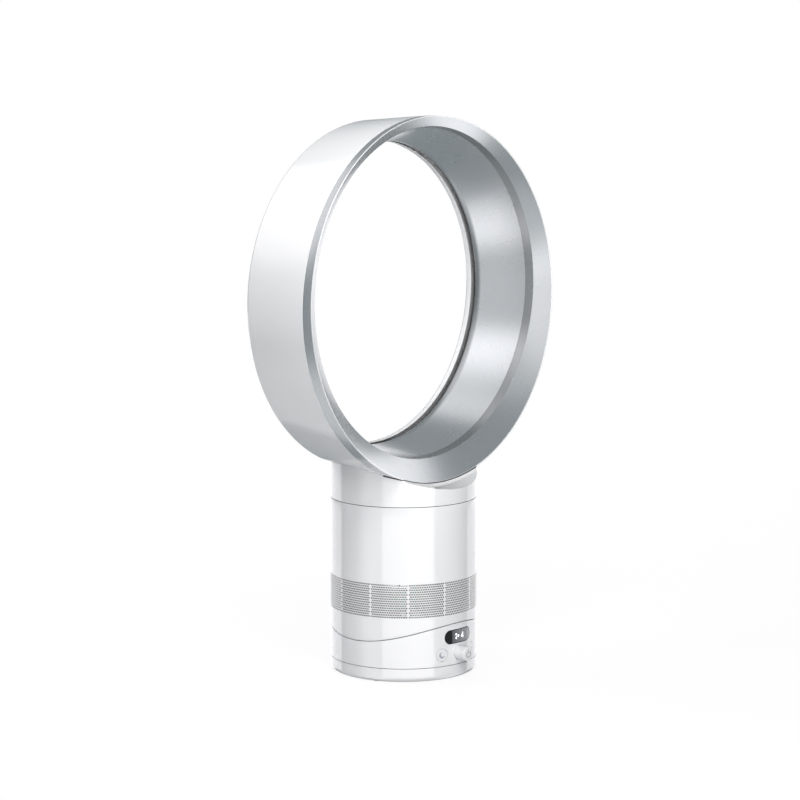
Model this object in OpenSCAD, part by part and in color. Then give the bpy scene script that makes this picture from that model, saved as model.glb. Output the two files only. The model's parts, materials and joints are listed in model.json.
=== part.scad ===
// Bladeless desk fan in millimetres: a foot, an oscillating base, a tilting body and an air loop.
// +Z is up and the front faces -Y. The origin is on the floor, under the axis of the round body.

/* [Base and body] */
// Radius of the round body, its base and its foot
body_r = 73; // [71:0.5:76]
// Wall of the white housings
wall = 2.4; // [2:0.1:2.6]
// Height of the foot's rim above the floor
foot_h = 14; // [13.5:0.5:16]
// Gap that shows where two housings meet
seam = 0.6; // [0.4:0.1:0.8]
// Height of the base at its sides, up to the curved tilt seam
base_h = 24.9; // [24.4:0.1:28]
// Radius of the curved tilt seam about the tilt axis
tilt_r = 171.5; // [164:0.5:180]
// Height of the body at its sides, from the tilt seam to the neck seam
body_h = 135.1; // [133:0.1:145]

/* [Intake grille] */
// Height of the lowest row of holes above the tilt seam at the sides
grille_rise = 26.2; // [25.5:0.1:29]
// Height of the band of holes, from its lowest row to its highest
grille_h = 31.7; // [27:0.1:32]
// Diameter of one intake hole
hole_d = 3; // [2:0.1:3.2]
// Rows of holes
hole_rows = 6; // [5:1:8]
// Holes in a long row of one panel
row_holes = 6; // [5:1:8]
// Panels of holes round the body
panels = 12; // [8:1:12]

/* [Controls] */
// Height of the knob and the two buttons above the base's lower edge
control_h = 11.1; // [11:0.1:12]
// Diameter of the knob
knob_d = 14; // [12:0.5:16]
// How far the knob stands out of the base
knob_out = 12.4; // [8:0.2:16]
// Diameter of the two buttons
button_d = 12.5; // [10:0.5:13]
// Angle round the base from the knob to each button
button_a = 17.3; // [17:0.1:20]
// Height of the middle of the display window above the knob's axis
display_rise = 16.8; // [16.4:0.1:17.4]
// Height of the display window
display_h = 14; // [11:0.5:14]
// Half the angle that the display window spans
display_a = 15; // [12:0.5:16]

/* [Loop] */
// Outer radius of the loop where the white shell meets the silver trim
loop_r = 179.5; // [172:0.5:188]
// Height of the loop's lowest point above the neck seam
collar_h = 18.4; // [17.5:0.1:26]
// Height of the throat's axis above the axis of the outer shell
ring_offset = 6; // [4:0.5:7]
// Distance of the silver joint in front of the body's axis
loop_front = 32.7; // [31:0.1:35]
// Distance of the loop's rear face behind the body's axis
loop_back = 48.5; // [47:0.5:54]
// Loss of radius of the outer shell towards the rear
loop_taper = 6.5; // [4:0.5:8]
// Width of the silver front face at the height of the outer axis
face_w = 16.7; // [15:0.1:18]
// Width of the silver step behind the front face
step_w = 9.4; // [8:0.1:11]
// Wall of the loop's shells
loop_wall = 2.2; // [1.8:0.1:2.4]
// Width of the air slot between the rear lip and the diffuser
slot_w = 1.3; // [1:0.1:1.8]

/* [Drive and impeller] */
// Tooth size of the oscillation gears, as pitch diameter over tooth count
gear_m = 1.25; // [1.2:0.05:1.3]
// Thickness of the oscillation gears
gear_t = 5.5; // [4.5:0.5:5.5]
// Blades of the impeller
blades = 9; // [7:1:11]
// Greatest tilt of the body, forwards and backwards, in degrees
tilt_max = 10; // [6:1:10]
// Turn of the loop's bayonet from locked to free, in degrees
twist_max = 18; // [14:1:22]

/* [Hidden] */

// Steps round a plain cylinder, the loop, the curved tilt seam and one intake hole
$fn = 96;
loop_steps = 240;
seam_steps = 360;
hole_steps = 16;

// Clearances: between seated pieces, between moving pieces, and round a running shaft
fit = 0.1;
run_gap = 0.3;
shaft_gap = 0.06;
// Overrun of every cut, and how far joined shapes sink into each other
over = 1;
sink = 0.5;

// Fasteners
screw_r = 1.5;
screw_head_r = 2.8;
screw_head_h = 1.4;
thread_l = 4;
boss_r = 3.5;

// Body radii and the heights of its seams, axes and controls
in_r = body_r - wall;
seat_r = in_r - fit;
base_z = foot_h + seam;
control_z = base_z + control_h;
display_z = control_z + display_rise;
seam_low = base_z + base_h;
tilt_z = seam_low + tilt_r;
neck_z = seam_low + body_h;
grille_low = seam_low + grille_rise;
grille_high = grille_low + grille_h;
// Angle that the rows of one panel of holes span, and the steps between its holes and rows
panel_a = 27.6;
hole_step_a = 2 * panel_a / (2 * row_holes - 1);
row_step = grille_h / (hole_rows - 1);

// Foot: pads, tray floor, glide rib and lead outlet
pad_h = 0.5;
pad_sink = 1;
pad_r = 7;
pads = 5;
pad_inset = 12.5;
pad_ring_r = body_r - pad_inset;
edge_r = 5;
edge_in_r = edge_r - wall;
tray_top = pad_h + wall;
rib_t = 3.6;
rib_inset = 10.8;
rib_r = body_r - rib_inset;
glide_t = 2.5;
lead_r = 3.2;
grommet_r = 4.6;
grommet_flange_r = 5.4;
grommet_flange_t = 1.5;
lead_drop = 6;
lead_z = foot_h - lead_drop;
lead_channel_w = 9;

// Ballast, spindle and fixed gear
ballast_t = 3.5;
ballast_top = tray_top + ballast_t;
ballast_gap = 1.7;
ballast_r = rib_r - ballast_gap;
flange_r = 17;
stem_r = 12.5;
stem_bore_r = 8.5;
foot_screw_ring_r = 21.5;
foot_screws_n = 4;
gear_teeth = 48;
pinion_teeth = 16;
pressure_a = 20;
gear_backlash = 0.12;
gear_gap = 0.15;
flank_steps = 4;
root_share = 1.25;
root_spread_a = 0.5;
gear_z = ballast_top;
mesh_y = gear_m * (gear_teeth + pinion_teeth) / 2 + gear_gap;

// Turntable, its bush and the clip that holds it down
turn_rise = 0.6;
turn_t = 3;
turn_z = base_z + turn_rise;
turn_top = turn_z + turn_t;
glide_z = turn_z - run_gap - glide_t;
bush_r = 15.1;
bush_flange_r = 17.5;
bush_flange_t = 2;
clip_t = 1.4;
clip_r = 15;
clip_bore_r = 11.3;
clip_gap_w = 8;
clip_z = turn_top + bush_flange_t + run_gap;
stem_end = 2.2;
stem_top = clip_z + clip_t + stem_end;

// Bosses of the lower housing on the turntable
housing_boss_h = 9;
housing_boss_a = [22, 158, 202, 338];
housing_boss_ring_r = in_r - boss_r + sink;
// Posts of the cradle on the turntable
post_r = 4;
post_a = [50, 130, 230, 310];
post_inset = 12;
post_ring_r = in_r - post_inset;

// Cradle, the body's floor, the rails and the caps that hold the body down, as radii about the tilt axis
cradle_t = 3;
cradle_in_r = tilt_r + seam / 2;
floor_t = 3;
floor_out_r = tilt_r - seam / 2;
floor_in_r = floor_out_r - floor_t;
floor_top_z = tilt_z - floor_in_r;
tilt_pad_t = 2;
cap_t = 3;
cap_out_r = floor_in_r - run_gap - tilt_pad_t;
cap_in_r = cap_out_r - cap_t;
rail_x = 30;
rail_w = 6;
cap_w = 14;
rail_slot_w = 8;
floor_rim = 4.3;
slot_spare_a = 0.4;
slot_y = sqrt(pow(seat_r, 2) - pow(rail_x + rail_slot_w / 2, 2)) - floor_rim;
slot_a = asin(slot_y / floor_out_r);
rail_a = slot_a - tilt_max - slot_spare_a;
rail_screw_share = 0.6;
rail_screw_a = rail_screw_share * rail_a;
wire_w = 12;
wire_a = 5;

// Oscillation motor
motor_r = 14;
motor_h = 17;
ear_x = 18;
ear_w = 7;
ear_t = 1.5;
motor_bore_depth = 6;
pinion_shaft_r = 2.5;
pinion_hole_r = 5;

// Control board and what it carries
board_w = 60;
board_t = 1.6;
board_rise = 4.5;
board_top = seam_low + board_rise;
board_inset = 15.5;
board_y = body_r - board_inset;
led_w = 28;
led_h = 9;
led_out = 9;
connector_w = 12;
connector_h = 5;
connector_t = 4;
window_t = 2;
window_inset = 0.05;
encoder_w = 13;
encoder_front = 9;
shaft_seat = 4.8;
plunger_front = board_y + encoder_front - shaft_seat;
shaft_r = 3;
plunger_r = 4.2;
plunger_t = 1.9;
press = 0.8;
press_spare = 0.2;
knob_gap = 0.3;
knob_edge_r = 1;
knob_root_in = 1.3;
knob_face_t = 3;
button_gap = 0.35;
button_flange = 0.9;
button_flange_t = 1.6;
button_stem_r = 2;
button_stem_l = 3.4;
button_inset = 0.1;
switch_w = 6;
switch_t = 3.4;
switch_inset = 4;
switch_x = (in_r - switch_inset) * sin(button_a);

// Body: bulkhead, boards and screws
bulkhead_t = 3;
bulkhead_rise = 5.6;
bulkhead_z = grille_high + bulkhead_rise;
bulkhead_top = bulkhead_z + bulkhead_t;
ledge_w = 3;
body_boss_h = 15;
body_boss_ring_r = in_r - boss_r + sink / 2;
body_boss_top = seam_low + body_boss_h;
power_rise = 24.5;
power_z = seam_low + power_rise;
power_w = 64;
power_d = 52;
power_post_r = 3;
power_post_x = 15;
power_post_y = 20;
// Parts on the power board: centre x, centre y, width, depth and height
power_parts = [[-18, 0, 20, 26, 15], [12, 12, 16, 14, 9], [10, -14, 26, 10, 6], [26, 6, 6, 16, 12]];

// Impeller housing, as inner radii and heights along the air path
shroud_t = 2;
duct_inset = 10.5;
duct_r = seat_r - duct_inset;
duct_flare = 5;
shroud_out_r = duct_r - duct_flare;
mount_flange_out = 1;
mount_flange_r = shroud_out_r + mount_flange_out;
mount_inset = 5;
mount_ring_r = mount_flange_r - mount_inset;
bulkhead_edge = 9;
bulkhead_hole_r = mount_ring_r - bulkhead_edge;
eye_edge = 5;
eye_r = bulkhead_hole_r - eye_edge;
bell_r = 6;
bell_z = bulkhead_top + run_gap;
eye_z = bell_z + bell_r;
impeller_h = 24;
exit_z = eye_z + impeller_h;
flare_h = 6;
duct_z = exit_z + flare_h;
shroud_steps = 8;
shroud_power = 1.6;
mount_flange_rise = 7;
mount_flange_z = bell_z + mount_flange_rise;
mount_flange_t = 2.5;
mount_r = 4;
mounts_n = 3;
mount_a = 30;
seal_t = 3.6;
seal_inset = 1;
bayonet_h = 10.3;
bayonet_top = neck_z - seam;
bayonet_z = bayonet_top - bayonet_h;
seal_z = bayonet_z - fit - seal_t;
duct_top = seal_z;
top_flange_t = 3;

// Impeller and its blades
hub_in_r = 10;
exit_w = 13;
hub_out_r = shroud_out_r - exit_w;
hub_power = 1.5;
hub_steps = 8;
hub_back_t = 3;
hub_turn_z = eye_z + impeller_h / 2;
tip_gap = 0.8;
blade_t = 1.3;
blade_wrap = 62;
blade_us = 8;
blade_ts = 3;
blade_root = 1.5;
blade_end_share = 0.03;
nose_h = 5;

// Motor bucket, bearings, stator and rotor
bucket_gap = 0.8;
bucket_out = 1.9;
bucket_r = hub_out_r + bucket_out;
bucket_wall = 1.8;
bucket_z = exit_z + bucket_gap;
bucket_h = 24;
bucket_top = bucket_z + bucket_h;
bearing_r = 8;
bearing_h = 3.5;
bearing_boss_r = 11;
upper_bearing_z = bucket_top - bearing_h;
motor_shaft_r = 2.5;
shaft_hole_r = 3.2;
stator_h = 10;
stator_bore_r = 18;
stator_slots = 9;
stator_slot_w = 5;
stator_rim_t = 6;
magnet_gap = 0.6;
stator_gap = 2.4;
stator_z = bucket_z + bucket_wall + bearing_h + stator_gap;
dome_h = 13;
dome_t = 2;
dome_flat_t = 2;
vane_n = 11;
vane_t = 1.6;
vane_lean = 24;
vane_h = 10;
vane_wall = 1.6;
vane_rise = 1.5;
vane_z = duct_z + vane_rise;

// Bayonet and collar
skirt_t = 3.2;
bayonet_wall = 3.1;
bayonet_gap = 0.4;
skirt_r = seat_r - bayonet_wall - bayonet_gap + fit;
lug_out = 2.3;
lug_h = 2.5;
lug_rise = 2.6;
lug_z = bayonet_z + lug_rise;
lug_a = 14;
lug_spare_a = 1;
lugs_n = 3;
skirt_low = seal_z + seal_t + run_gap;
collar_z = neck_z + seam / 2;
ledge_near = 1.8;
ledge_far = 3.6;

// Loop: heights of its two axes and its radii
loop_z = neck_z + collar_h + loop_r;
throat_z = loop_z + ring_offset;
edge_back_r = 5;
edge_y = loop_back - edge_back_r;
rear_r = loop_r - loop_taper;
face_r = loop_r - face_w;
face_set = 0.2;
face_y = loop_front + face_set;
face_slope_share = 0.6975;
step_draft = 1.2;
step_r = face_r - step_draft;
step_y = face_y - step_w;
diffuser_fall = 11.3;
diffuser_r = step_r - diffuser_fall;
nose_r = 6;
nose_inset = 17.5;
nose_y = loop_back - nose_inset;
lip_t = 1.2;
lip_set = 0.2;
throat_r = diffuser_r - slot_w - lip_t + lip_set;
lip_rise = 3.2;
lip_y = nose_y + lip_rise;
trim_t = 2;
front_reach = face_y + face_slope_share * (loop_r + ring_offset - face_r);
tongue_l = 8;
tongue_r = shell_r(tongue_l - loop_front) - loop_wall - fit;
gasket_t = 1.5;
gasket_in_r = step_r + trim_t + 4 * fit;
gasket_out_r = tongue_r - trim_t - ring_offset - 2 * run_gap;
spacers_n = 12;
spacer_w = 4;
spacer_l = 1.6;

// Air passage from the collar into the loop, the screws beside it and the pads below them
port_x = 44;
port_front = 24;
port_back = 34;
port_corner_r = 12;
loop_screw_x = 54;
loop_screw_ys = [-14, 22];
loop_pad_r = 4.5;
loop_pad_drop = 6;
loop_boss_h = 9;
loop_screw_top = loop_z - sqrt(pow(shell_r(loop_screw_ys[0]), 2) - pow(loop_screw_x, 2));
loop_pad_z = loop_screw_top - wall - loop_pad_drop;

// Colours
white = "#f2f2f0";
silver = "#b9bec2";
black = "#141416";
rubber = "#2a2a2c";
steel = "#9ba0a5";
brass = "#b8954f";
acetal = "#e6e3da";
board_green = "#1d5b3a";
grey = "#6d7074";

// Ring about the Z axis between two radii and two heights
module ring(r_out, r_in, z_low, z_high) {
    rotate_extrude()
        translate([r_in, z_low])
            square([r_out - r_in, z_high - z_low]);
}

// Part of such a ring, from one angle to another
module ring_arc(r_out, r_in, z_low, z_high, a_low, a_high) {
    rotate([0, 0, a_low])
        rotate_extrude(angle = a_high - a_low)
            translate([r_in, z_low])
                square([r_out - r_in, z_high - z_low]);
}

// Upright cylinder between two heights
module post(r, z_low, z_high) {
    translate([0, 0, z_low])
        cylinder(r = r, h = z_high - z_low);
}

// Cylinder along Y between two places
module bar_y(r, y_low, y_high) {
    translate([0, y_low, 0])
        rotate([-90, 0, 0])
            cylinder(r = r, h = y_high - y_low);
}

// Copies of the children round the Z axis at a radius
module round_z(count, radius, start = 0) {
    for (i = [0:count - 1])
        rotate([0, 0, start + i * 360 / count])
            translate([radius, 0, 0])
                children();
}

// Copies of the children round the Z axis at listed angles and a radius
module at_angles(angles, radius) {
    for (a = angles)
        rotate([0, 0, a])
            translate([radius, 0, 0])
                children();
}

// Screw that is driven upwards: its head starts at one height and its tip ends at another
module screw_up(head_z, tip_z) {
    post(screw_head_r, head_z, head_z + screw_head_h);
    post(screw_r, head_z + screw_head_h - sink, tip_z);
}

// Screw that is driven downwards: its head ends at one height and its tip at another
module screw_down(head_top, tip_z) {
    post(screw_head_r, head_top - screw_head_h, head_top);
    post(screw_r, tip_z, head_top - screw_head_h + sink);
}

// Everything nearer to the tilt axis than a radius
module wave(r) {
    translate([-body_r - over, 0, tilt_z])
        rotate([0, 90, 0])
            cylinder(r = r, h = 2 * (body_r + over), $fn = seam_steps);
}

// Arc about the tilt axis, centred below it, between two radii and two places along X
module tilt_arc(r_out, r_in, x_low, x_high, half_a) {
    translate([x_low, 0, tilt_z])
        rotate([0, 90, 0])
            rotate([0, 0, -half_a])
                rotate_extrude(angle = 2 * half_a, $fn = seam_steps)
                    translate([r_in, 0])
                        square([r_out - r_in, x_high - x_low]);
}

// Revolve about an axis along Y at a height: the profile holds radius and place along Y
module about_y(z) {
    translate([0, 0, z])
        rotate([-90, 0, 0])
            rotate_extrude($fn = loop_steps)
                children();
}

// Rectangle of a profile between two radii and two places
module band(r_in, r_out, y_low, y_high) {
    translate([r_in, y_low])
        square([r_out - r_in, y_high - y_low]);
}

// Quarter or half of a round wall in a profile, clipped by a rectangle beside its centre
module curl(r, t, x, y, clip_low, clip_high) {
    intersection() {
        translate([x, y])
            difference() {
                circle(r = r);
                circle(r = r - t);
            }
        translate([x + clip_low, y])
            square([clip_high - clip_low, r + over]);
    }
}

// Angle through which an involute flank winds from its base circle to a radius
function involute(r, base) = tan(acos(base / r)) * 180 / PI - acos(base / r);
// Half of the angle of a tooth at a radius
function half_tooth(r, pitch, base, teeth) =
    90 / teeth - gear_backlash / pitch * 90 / PI
    + involute(pitch, base) - involute(max(r, base), base);
function polar(r, a) = [r * cos(a), r * sin(a)];
// Outline of one involute gear
function gear_points(teeth) =
    let (
        pitch = gear_m * teeth / 2,
        base = pitch * cos(pressure_a),
        tip = pitch + gear_m,
        root = pitch - root_share * gear_m,
        start = max(root, base)
    )
    [
        for (i = [0:teeth - 1])
            let (mid = i * 360 / teeth)
            each concat(
                [polar(root, mid - half_tooth(start, pitch, base, teeth) - root_spread_a)],
                [
                    for (k = [0:flank_steps])
                        let (r = start + (tip - start) * k / flank_steps)
                        polar(r, mid - half_tooth(r, pitch, base, teeth))
                ],
                [
                    for (k = [flank_steps:-1:0])
                        let (r = start + (tip - start) * k / flank_steps)
                        polar(r, mid + half_tooth(r, pitch, base, teeth))
                ],
                [polar(root, mid + half_tooth(start, pitch, base, teeth) + root_spread_a)]
            )
    ];

// Radius of the white shell of the loop at a place along Y
function shell_r(y) = loop_r - loop_taper * (y + loop_front) / (edge_y + loop_front);

// Foot

module foot_profile() {
    difference() {
        union() {
            band(0, body_r - edge_r, pad_h, foot_h);
            band(0, body_r, pad_h + edge_r, foot_h);
            translate([body_r - edge_r, pad_h + edge_r])
                circle(r = edge_r);
        }
        band(0, in_r - edge_in_r, tray_top, foot_h + over);
        band(0, in_r, tray_top + edge_in_r, foot_h + over);
        translate([in_r - edge_in_r, tray_top + edge_in_r])
            circle(r = edge_in_r);
    }
}

module foot_tray() {
    color(white)
    difference() {
        union() {
            rotate_extrude()
                foot_profile();
            ring(rib_r + rib_t, rib_r, tray_top - sink, glide_z);
        }
        round_z(pads, pad_ring_r, -90)
            post(pad_r + fit, 0, pad_h + pad_sink);
        post(pad_r + fit, 0, pad_h + pad_sink);
        round_z(foot_screws_n, foot_screw_ring_r, 45) {
            post(screw_r + fit, 0, tray_top + over);
            post(screw_head_r + fit, 0, pad_h + screw_head_h);
        }
        translate([0, 0, lead_z])
            bar_y(grommet_r + fit, rib_r + rib_t, body_r + over);
        translate([-lead_channel_w / 2, rib_r - over, tray_top])
            cube([lead_channel_w, rib_t + 2 * over, glide_z - tray_top - glide_t]);
    }
}

module rubber_feet() {
    color(rubber)
    union() {
        round_z(pads, pad_ring_r, -90)
            post(pad_r, 0, pad_h + pad_sink);
        post(pad_r, 0, pad_h + pad_sink);
    }
}

module ballast_plate() {
    color(steel)
    difference() {
        ring(ballast_r, flange_r + fit, tray_top, ballast_top);
        round_z(foot_screws_n, foot_screw_ring_r, 45)
            post(screw_r + fit, tray_top - over, ballast_top + over);
        translate([-lead_channel_w / 2, foot_screw_ring_r + lead_channel_w, tray_top - over])
            cube([lead_channel_w, ballast_r, ballast_t + 2 * over]);
    }
}

module spindle() {
    color(steel)
    difference() {
        union() {
            post(flange_r, tray_top, ballast_top);
            post(stem_r, ballast_top - sink, stem_top);
        }
        post(stem_bore_r, tray_top - over, stem_top + over);
        ring(stem_r + over, clip_bore_r - fit, clip_z, clip_z + clip_t + fit);
    }
}

module fixed_gear() {
    color(acetal)
    difference() {
        translate([0, 0, gear_z])
            linear_extrude(height = gear_t)
                polygon(gear_points(gear_teeth));
        post(stem_r + fit, gear_z - over, gear_z + gear_t + over);
        round_z(foot_screws_n, foot_screw_ring_r, 45)
            post(screw_r + fit, gear_z - over, gear_z + thread_l + fit);
    }
}

module glide_ring() {
    color(acetal)
    ring(rib_r + rib_t, rib_r, glide_z, glide_z + glide_t);
}

module lead_grommet() {
    color(rubber)
    translate([0, 0, lead_z])
        difference() {
            union() {
                bar_y(grommet_r, rib_r + rib_t + fit, body_r + sink);
                bar_y(grommet_flange_r, body_r, body_r + grommet_flange_t);
            }
            bar_y(lead_r, rib_r, body_r + grommet_flange_t + over);
        }
}

module foot_screws() {
    color(steel)
    round_z(foot_screws_n, foot_screw_ring_r, 45)
        screw_up(pad_h, gear_z + thread_l);
}

module spindle_clip() {
    color(steel)
    difference() {
        ring(clip_r, clip_bore_r, clip_z + fit / 2, clip_z + clip_t);
        translate([0, -clip_gap_w / 2, clip_z - over])
            cube([clip_r + over, clip_gap_w, clip_t + 2 * over]);
    }
}

// Base

module turntable() {
    color(grey)
    difference() {
        ring(seat_r, bush_r + fit, turn_z, turn_top);
        translate([0, mesh_y, 0]) {
            post(pinion_hole_r, turn_z - over, turn_top + over);
            for (x = [-ear_x, ear_x])
                translate([x, 0, 0])
                    post(screw_r + fit, turn_z - over, turn_top + over);
        }
        at_angles(housing_boss_a, housing_boss_ring_r)
            turntable_hole();
        at_angles(post_a, post_ring_r)
            turntable_hole();
    }
}

module turntable_hole() {
    post(screw_r + fit, turn_z - over, turn_top + over);
    post(screw_head_r + fit, turn_z - over, turn_z + screw_head_h);
}

module turntable_bush() {
    color(acetal)
    difference() {
        union() {
            post(bush_r, turn_z, turn_top + sink);
            post(bush_flange_r, turn_top, turn_top + bush_flange_t);
        }
        post(stem_r + shaft_gap, turn_z - over, turn_top + bush_flange_t + over);
    }
}

module pill(w, h) {
    square([w - h, h], center = true);
    for (s = [-1, 1])
        translate([s * (w - h) / 2, 0])
            circle(d = h);
}

// Display window's outline, carried through the front wall
module pill_cut(grow) {
    w = 2 * body_r * sin(display_a);
    translate([0, 0, display_z])
        rotate([90, 0, 0])
            translate([0, 0, body_r * cos(display_a) - wall - over])
                linear_extrude(height = body_r)
                    pill(w + 2 * grow, display_h + 2 * grow);
}

// Places a button's own axis, which points out of the base along +X
module at_button(side) {
    rotate([0, 0, side * button_a - 90])
        translate([0, 0, control_z])
            rotate([0, 90, 0])
                children();
}

module lower_housing() {
    color(white)
    difference() {
        union() {
            ring(body_r, in_r, base_z, tilt_z - sqrt(tilt_r * tilt_r - body_r * body_r) + over);
            at_angles(housing_boss_a, housing_boss_ring_r)
                post(boss_r, turn_top, turn_top + housing_boss_h);
        }
        wave(cradle_in_r);
        translate([0, 0, control_z])
            bar_y(knob_d / 2 + knob_gap, -body_r - over, -in_r + 2 * over);
        for (side = [-1, 1])
            at_button(side)
                post(button_d / 2 + button_gap, in_r - 2 * over, body_r + over);
        pill_cut(fit);
        at_angles(housing_boss_a, housing_boss_ring_r)
            post(screw_r + fit, turn_top - over, turn_top + thread_l + fit);
    }
}

module cradle() {
    color(grey)
    difference() {
        union() {
            difference() {
                union() {
                    intersection() {
                        post(seat_r, turn_top, tilt_z - cradle_in_r / 2);
                        wave(cradle_in_r + cradle_t);
                    }
                    at_angles(post_a, post_ring_r)
                        post(post_r, turn_top, tilt_z - cradle_in_r / 2);
                }
                wave(cradle_in_r);
            }
            for (x = [-rail_x, rail_x])
                tilt_arc(cradle_in_r + sink, cap_out_r, x - rail_w / 2, x + rail_w / 2, rail_a);
        }
        tilt_arc(cradle_in_r + cradle_t + over, cradle_in_r - over, -wire_w / 2, wire_w / 2, wire_a);
        at_angles(post_a, post_ring_r)
            post(screw_r + fit, turn_top - over, turn_top + thread_l + fit);
        at_rail_screws()
            post(screw_r + fit, -thread_l - fit, over);
    }
}

// Places at the caps' outer faces on the rails, with Z pointing to the tilt axis
module at_rail_screws() {
    for (x = [-rail_x, rail_x])
        for (a = [-rail_screw_a, rail_screw_a])
            translate([x, 0, tilt_z])
                rotate([a, 0, 0])
                    translate([0, 0, -cap_out_r])
                        children();
}

module rail_caps() {
    color(steel)
    difference() {
        for (x = [-rail_x, rail_x])
            tilt_arc(cap_out_r - fit, cap_in_r, x - cap_w / 2, x + cap_w / 2, rail_a);
        at_rail_screws() {
            post(screw_r + fit, -over, cap_t + over);
            post(screw_head_r + fit, cap_t - screw_head_h, cap_t + over);
        }
    }
}

module tilt_glides() {
    strip_w = (cap_w - rail_w) / 2 - fit;
    color(acetal)
    for (x = [-rail_x, rail_x]) {
        tilt_arc(cap_out_r + tilt_pad_t, cap_out_r, x - cap_w / 2, x - cap_w / 2 + strip_w, rail_a);
        tilt_arc(cap_out_r + tilt_pad_t, cap_out_r, x + cap_w / 2 - strip_w, x + cap_w / 2, rail_a);
    }
}

module rail_screws() {
    color(steel)
    at_rail_screws()
        screw_down(cap_t, -thread_l);
}

module oscillation_motor() {
    color(steel)
    translate([0, mesh_y, 0])
        difference() {
            union() {
                post(motor_r, turn_top, turn_top + motor_h);
                translate([-ear_x, -ear_w / 2, turn_top])
                    cube([2 * ear_x, ear_w, ear_t]);
                for (x = [-ear_x, ear_x])
                    translate([x, 0, 0])
                        post(ear_w / 2, turn_top, turn_top + ear_t);
            }
            post(pinion_shaft_r + shaft_gap, turn_top - over, turn_top + motor_bore_depth);
            for (x = [-ear_x, ear_x])
                translate([x, 0, 0])
                    post(screw_r + fit, turn_top - over, turn_top + ear_t + over);
        }
}

module motor_screws() {
    color(steel)
    translate([0, mesh_y, 0])
        for (x = [-ear_x, ear_x])
            translate([x, 0, 0])
                screw_down(turn_top + ear_t + screw_head_h, turn_z);
}

module control_board() {
    color(board_green)
    union() {
        translate([-board_w / 2, -board_y, turn_top])
            cube([board_w, board_t, board_top - turn_top]);
        translate([-led_w / 2, -board_y - led_out, board_top - led_h])
            cube([led_w, led_out + sink, led_h]);
        translate([-connector_w / 2, -board_y + board_t - sink, board_top - 2 * connector_h])
            cube([connector_w, connector_t + sink, connector_h]);
    }
}

module display_window() {
    color(black)
    intersection() {
        ring(body_r - window_inset, body_r - window_inset - window_t,
            display_z - display_h, display_z + display_h);
        pill_cut(0);
    }
}

module encoder_body() {
    color(grey)
    translate([0, 0, control_z])
        difference() {
            translate([-encoder_w / 2, -board_y - encoder_front, -encoder_w / 2])
                cube([encoder_w, encoder_front - fit, encoder_w]);
            bar_y(shaft_r + shaft_gap, -board_y - encoder_front - over, -board_y - over);
            bar_y(plunger_r + fit, -plunger_front - fit, -plunger_front + plunger_t + press + press_spare);
        }
}

module button_switches() {
    color(black)
    for (x = [-switch_x, switch_x])
        translate([x - switch_w / 2, -board_y - switch_t, control_z - switch_w / 2])
            cube([switch_w, switch_t - fit, switch_w]);
}

module base_screws() {
    color(steel) {
        at_angles(housing_boss_a, housing_boss_ring_r)
            screw_up(turn_z, turn_top + thread_l);
        at_angles(post_a, post_ring_r)
            screw_up(turn_z, turn_top + thread_l);
    }
}

// Pieces that move against the base

module drive_pinion() {
    color(brass)
    translate([0, mesh_y, 0])
        union() {
            translate([0, 0, gear_z + run_gap])
                rotate([0, 0, 180 / pinion_teeth])
                    linear_extrude(height = gear_t - run_gap)
                        polygon(gear_points(pinion_teeth));
            post(pinion_shaft_r, gear_z + gear_t - sink, turn_top + motor_bore_depth - run_gap);
        }
}

module dial_plunger() {
    color(acetal)
    translate([0, 0, control_z])
        bar_y(plunger_r, -plunger_front, -plunger_front + plunger_t);
}

module dial_knob() {
    color(white)
    translate([0, 0, control_z])
        rotate([90, 0, 0])
            rotate_extrude()
                difference() {
                    union() {
                        band(0, knob_d / 2 - knob_edge_r, body_r - knob_root_in, body_r + knob_out);
                        band(0, knob_d / 2, body_r - knob_root_in, body_r + knob_out - knob_edge_r);
                        translate([knob_d / 2 - knob_edge_r, body_r + knob_out - knob_edge_r])
                            circle(r = knob_edge_r);
                    }
                    band(0, shaft_r + fit, 0, body_r + knob_out - knob_face_t);
                }
}

module dial_shaft() {
    color(steel)
    translate([0, 0, control_z])
        bar_y(shaft_r, -body_r - knob_out + knob_face_t, -board_y - encoder_front + shaft_seat - fit);
}

module button(side) {
    flange_out = sqrt(pow(in_r, 2) - pow(button_d / 2 + button_flange, 2)) - run_gap;
    intersection() {
        at_button(side) {
            post(button_d / 2, flange_out - button_flange_t, body_r);
            post(button_d / 2 + button_flange, flange_out - button_flange_t, flange_out);
            post(button_stem_r, flange_out - button_stem_l, flange_out - sink);
        }
        post(body_r - button_inset, 0, display_z);
    }
}

module night_button() {
    color(white)
    button(-1);
}

module swing_button() {
    color(white)
    button(1);
}

// Body

module grille_holes() {
    for (panel = [0:panels - 1])
        for (row = [0:hole_rows - 1])
            let (count = row_holes - row % 2)
                for (i = [0:count - 1])
                    rotate([0, 0, panel * 360 / panels - 90 + (i - (count - 1) / 2) * hole_step_a])
                        translate([in_r - over, 0, grille_low + row * row_step])
                            rotate([0, 90, 0])
                                cylinder(d = hole_d, h = wall + 2 * over, $fn = hole_steps);
}

module body_shell() {
    color(white)
    difference() {
        intersection() {
            union() {
                ring(body_r, in_r, seam_low, neck_z - seam / 2);
                ring(in_r + sink, in_r - ledge_w, bulkhead_z - bulkhead_t, bulkhead_z);
                at_angles([0, 180], body_boss_ring_r)
                    post(boss_r, floor_top_z + fit, body_boss_top);
            }
            wave(floor_out_r);
        }
        grille_holes();
        at_angles([0, 180], body_boss_ring_r)
            post(screw_r + fit, floor_top_z - over, floor_top_z + thread_l + fit);
    }
}

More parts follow.
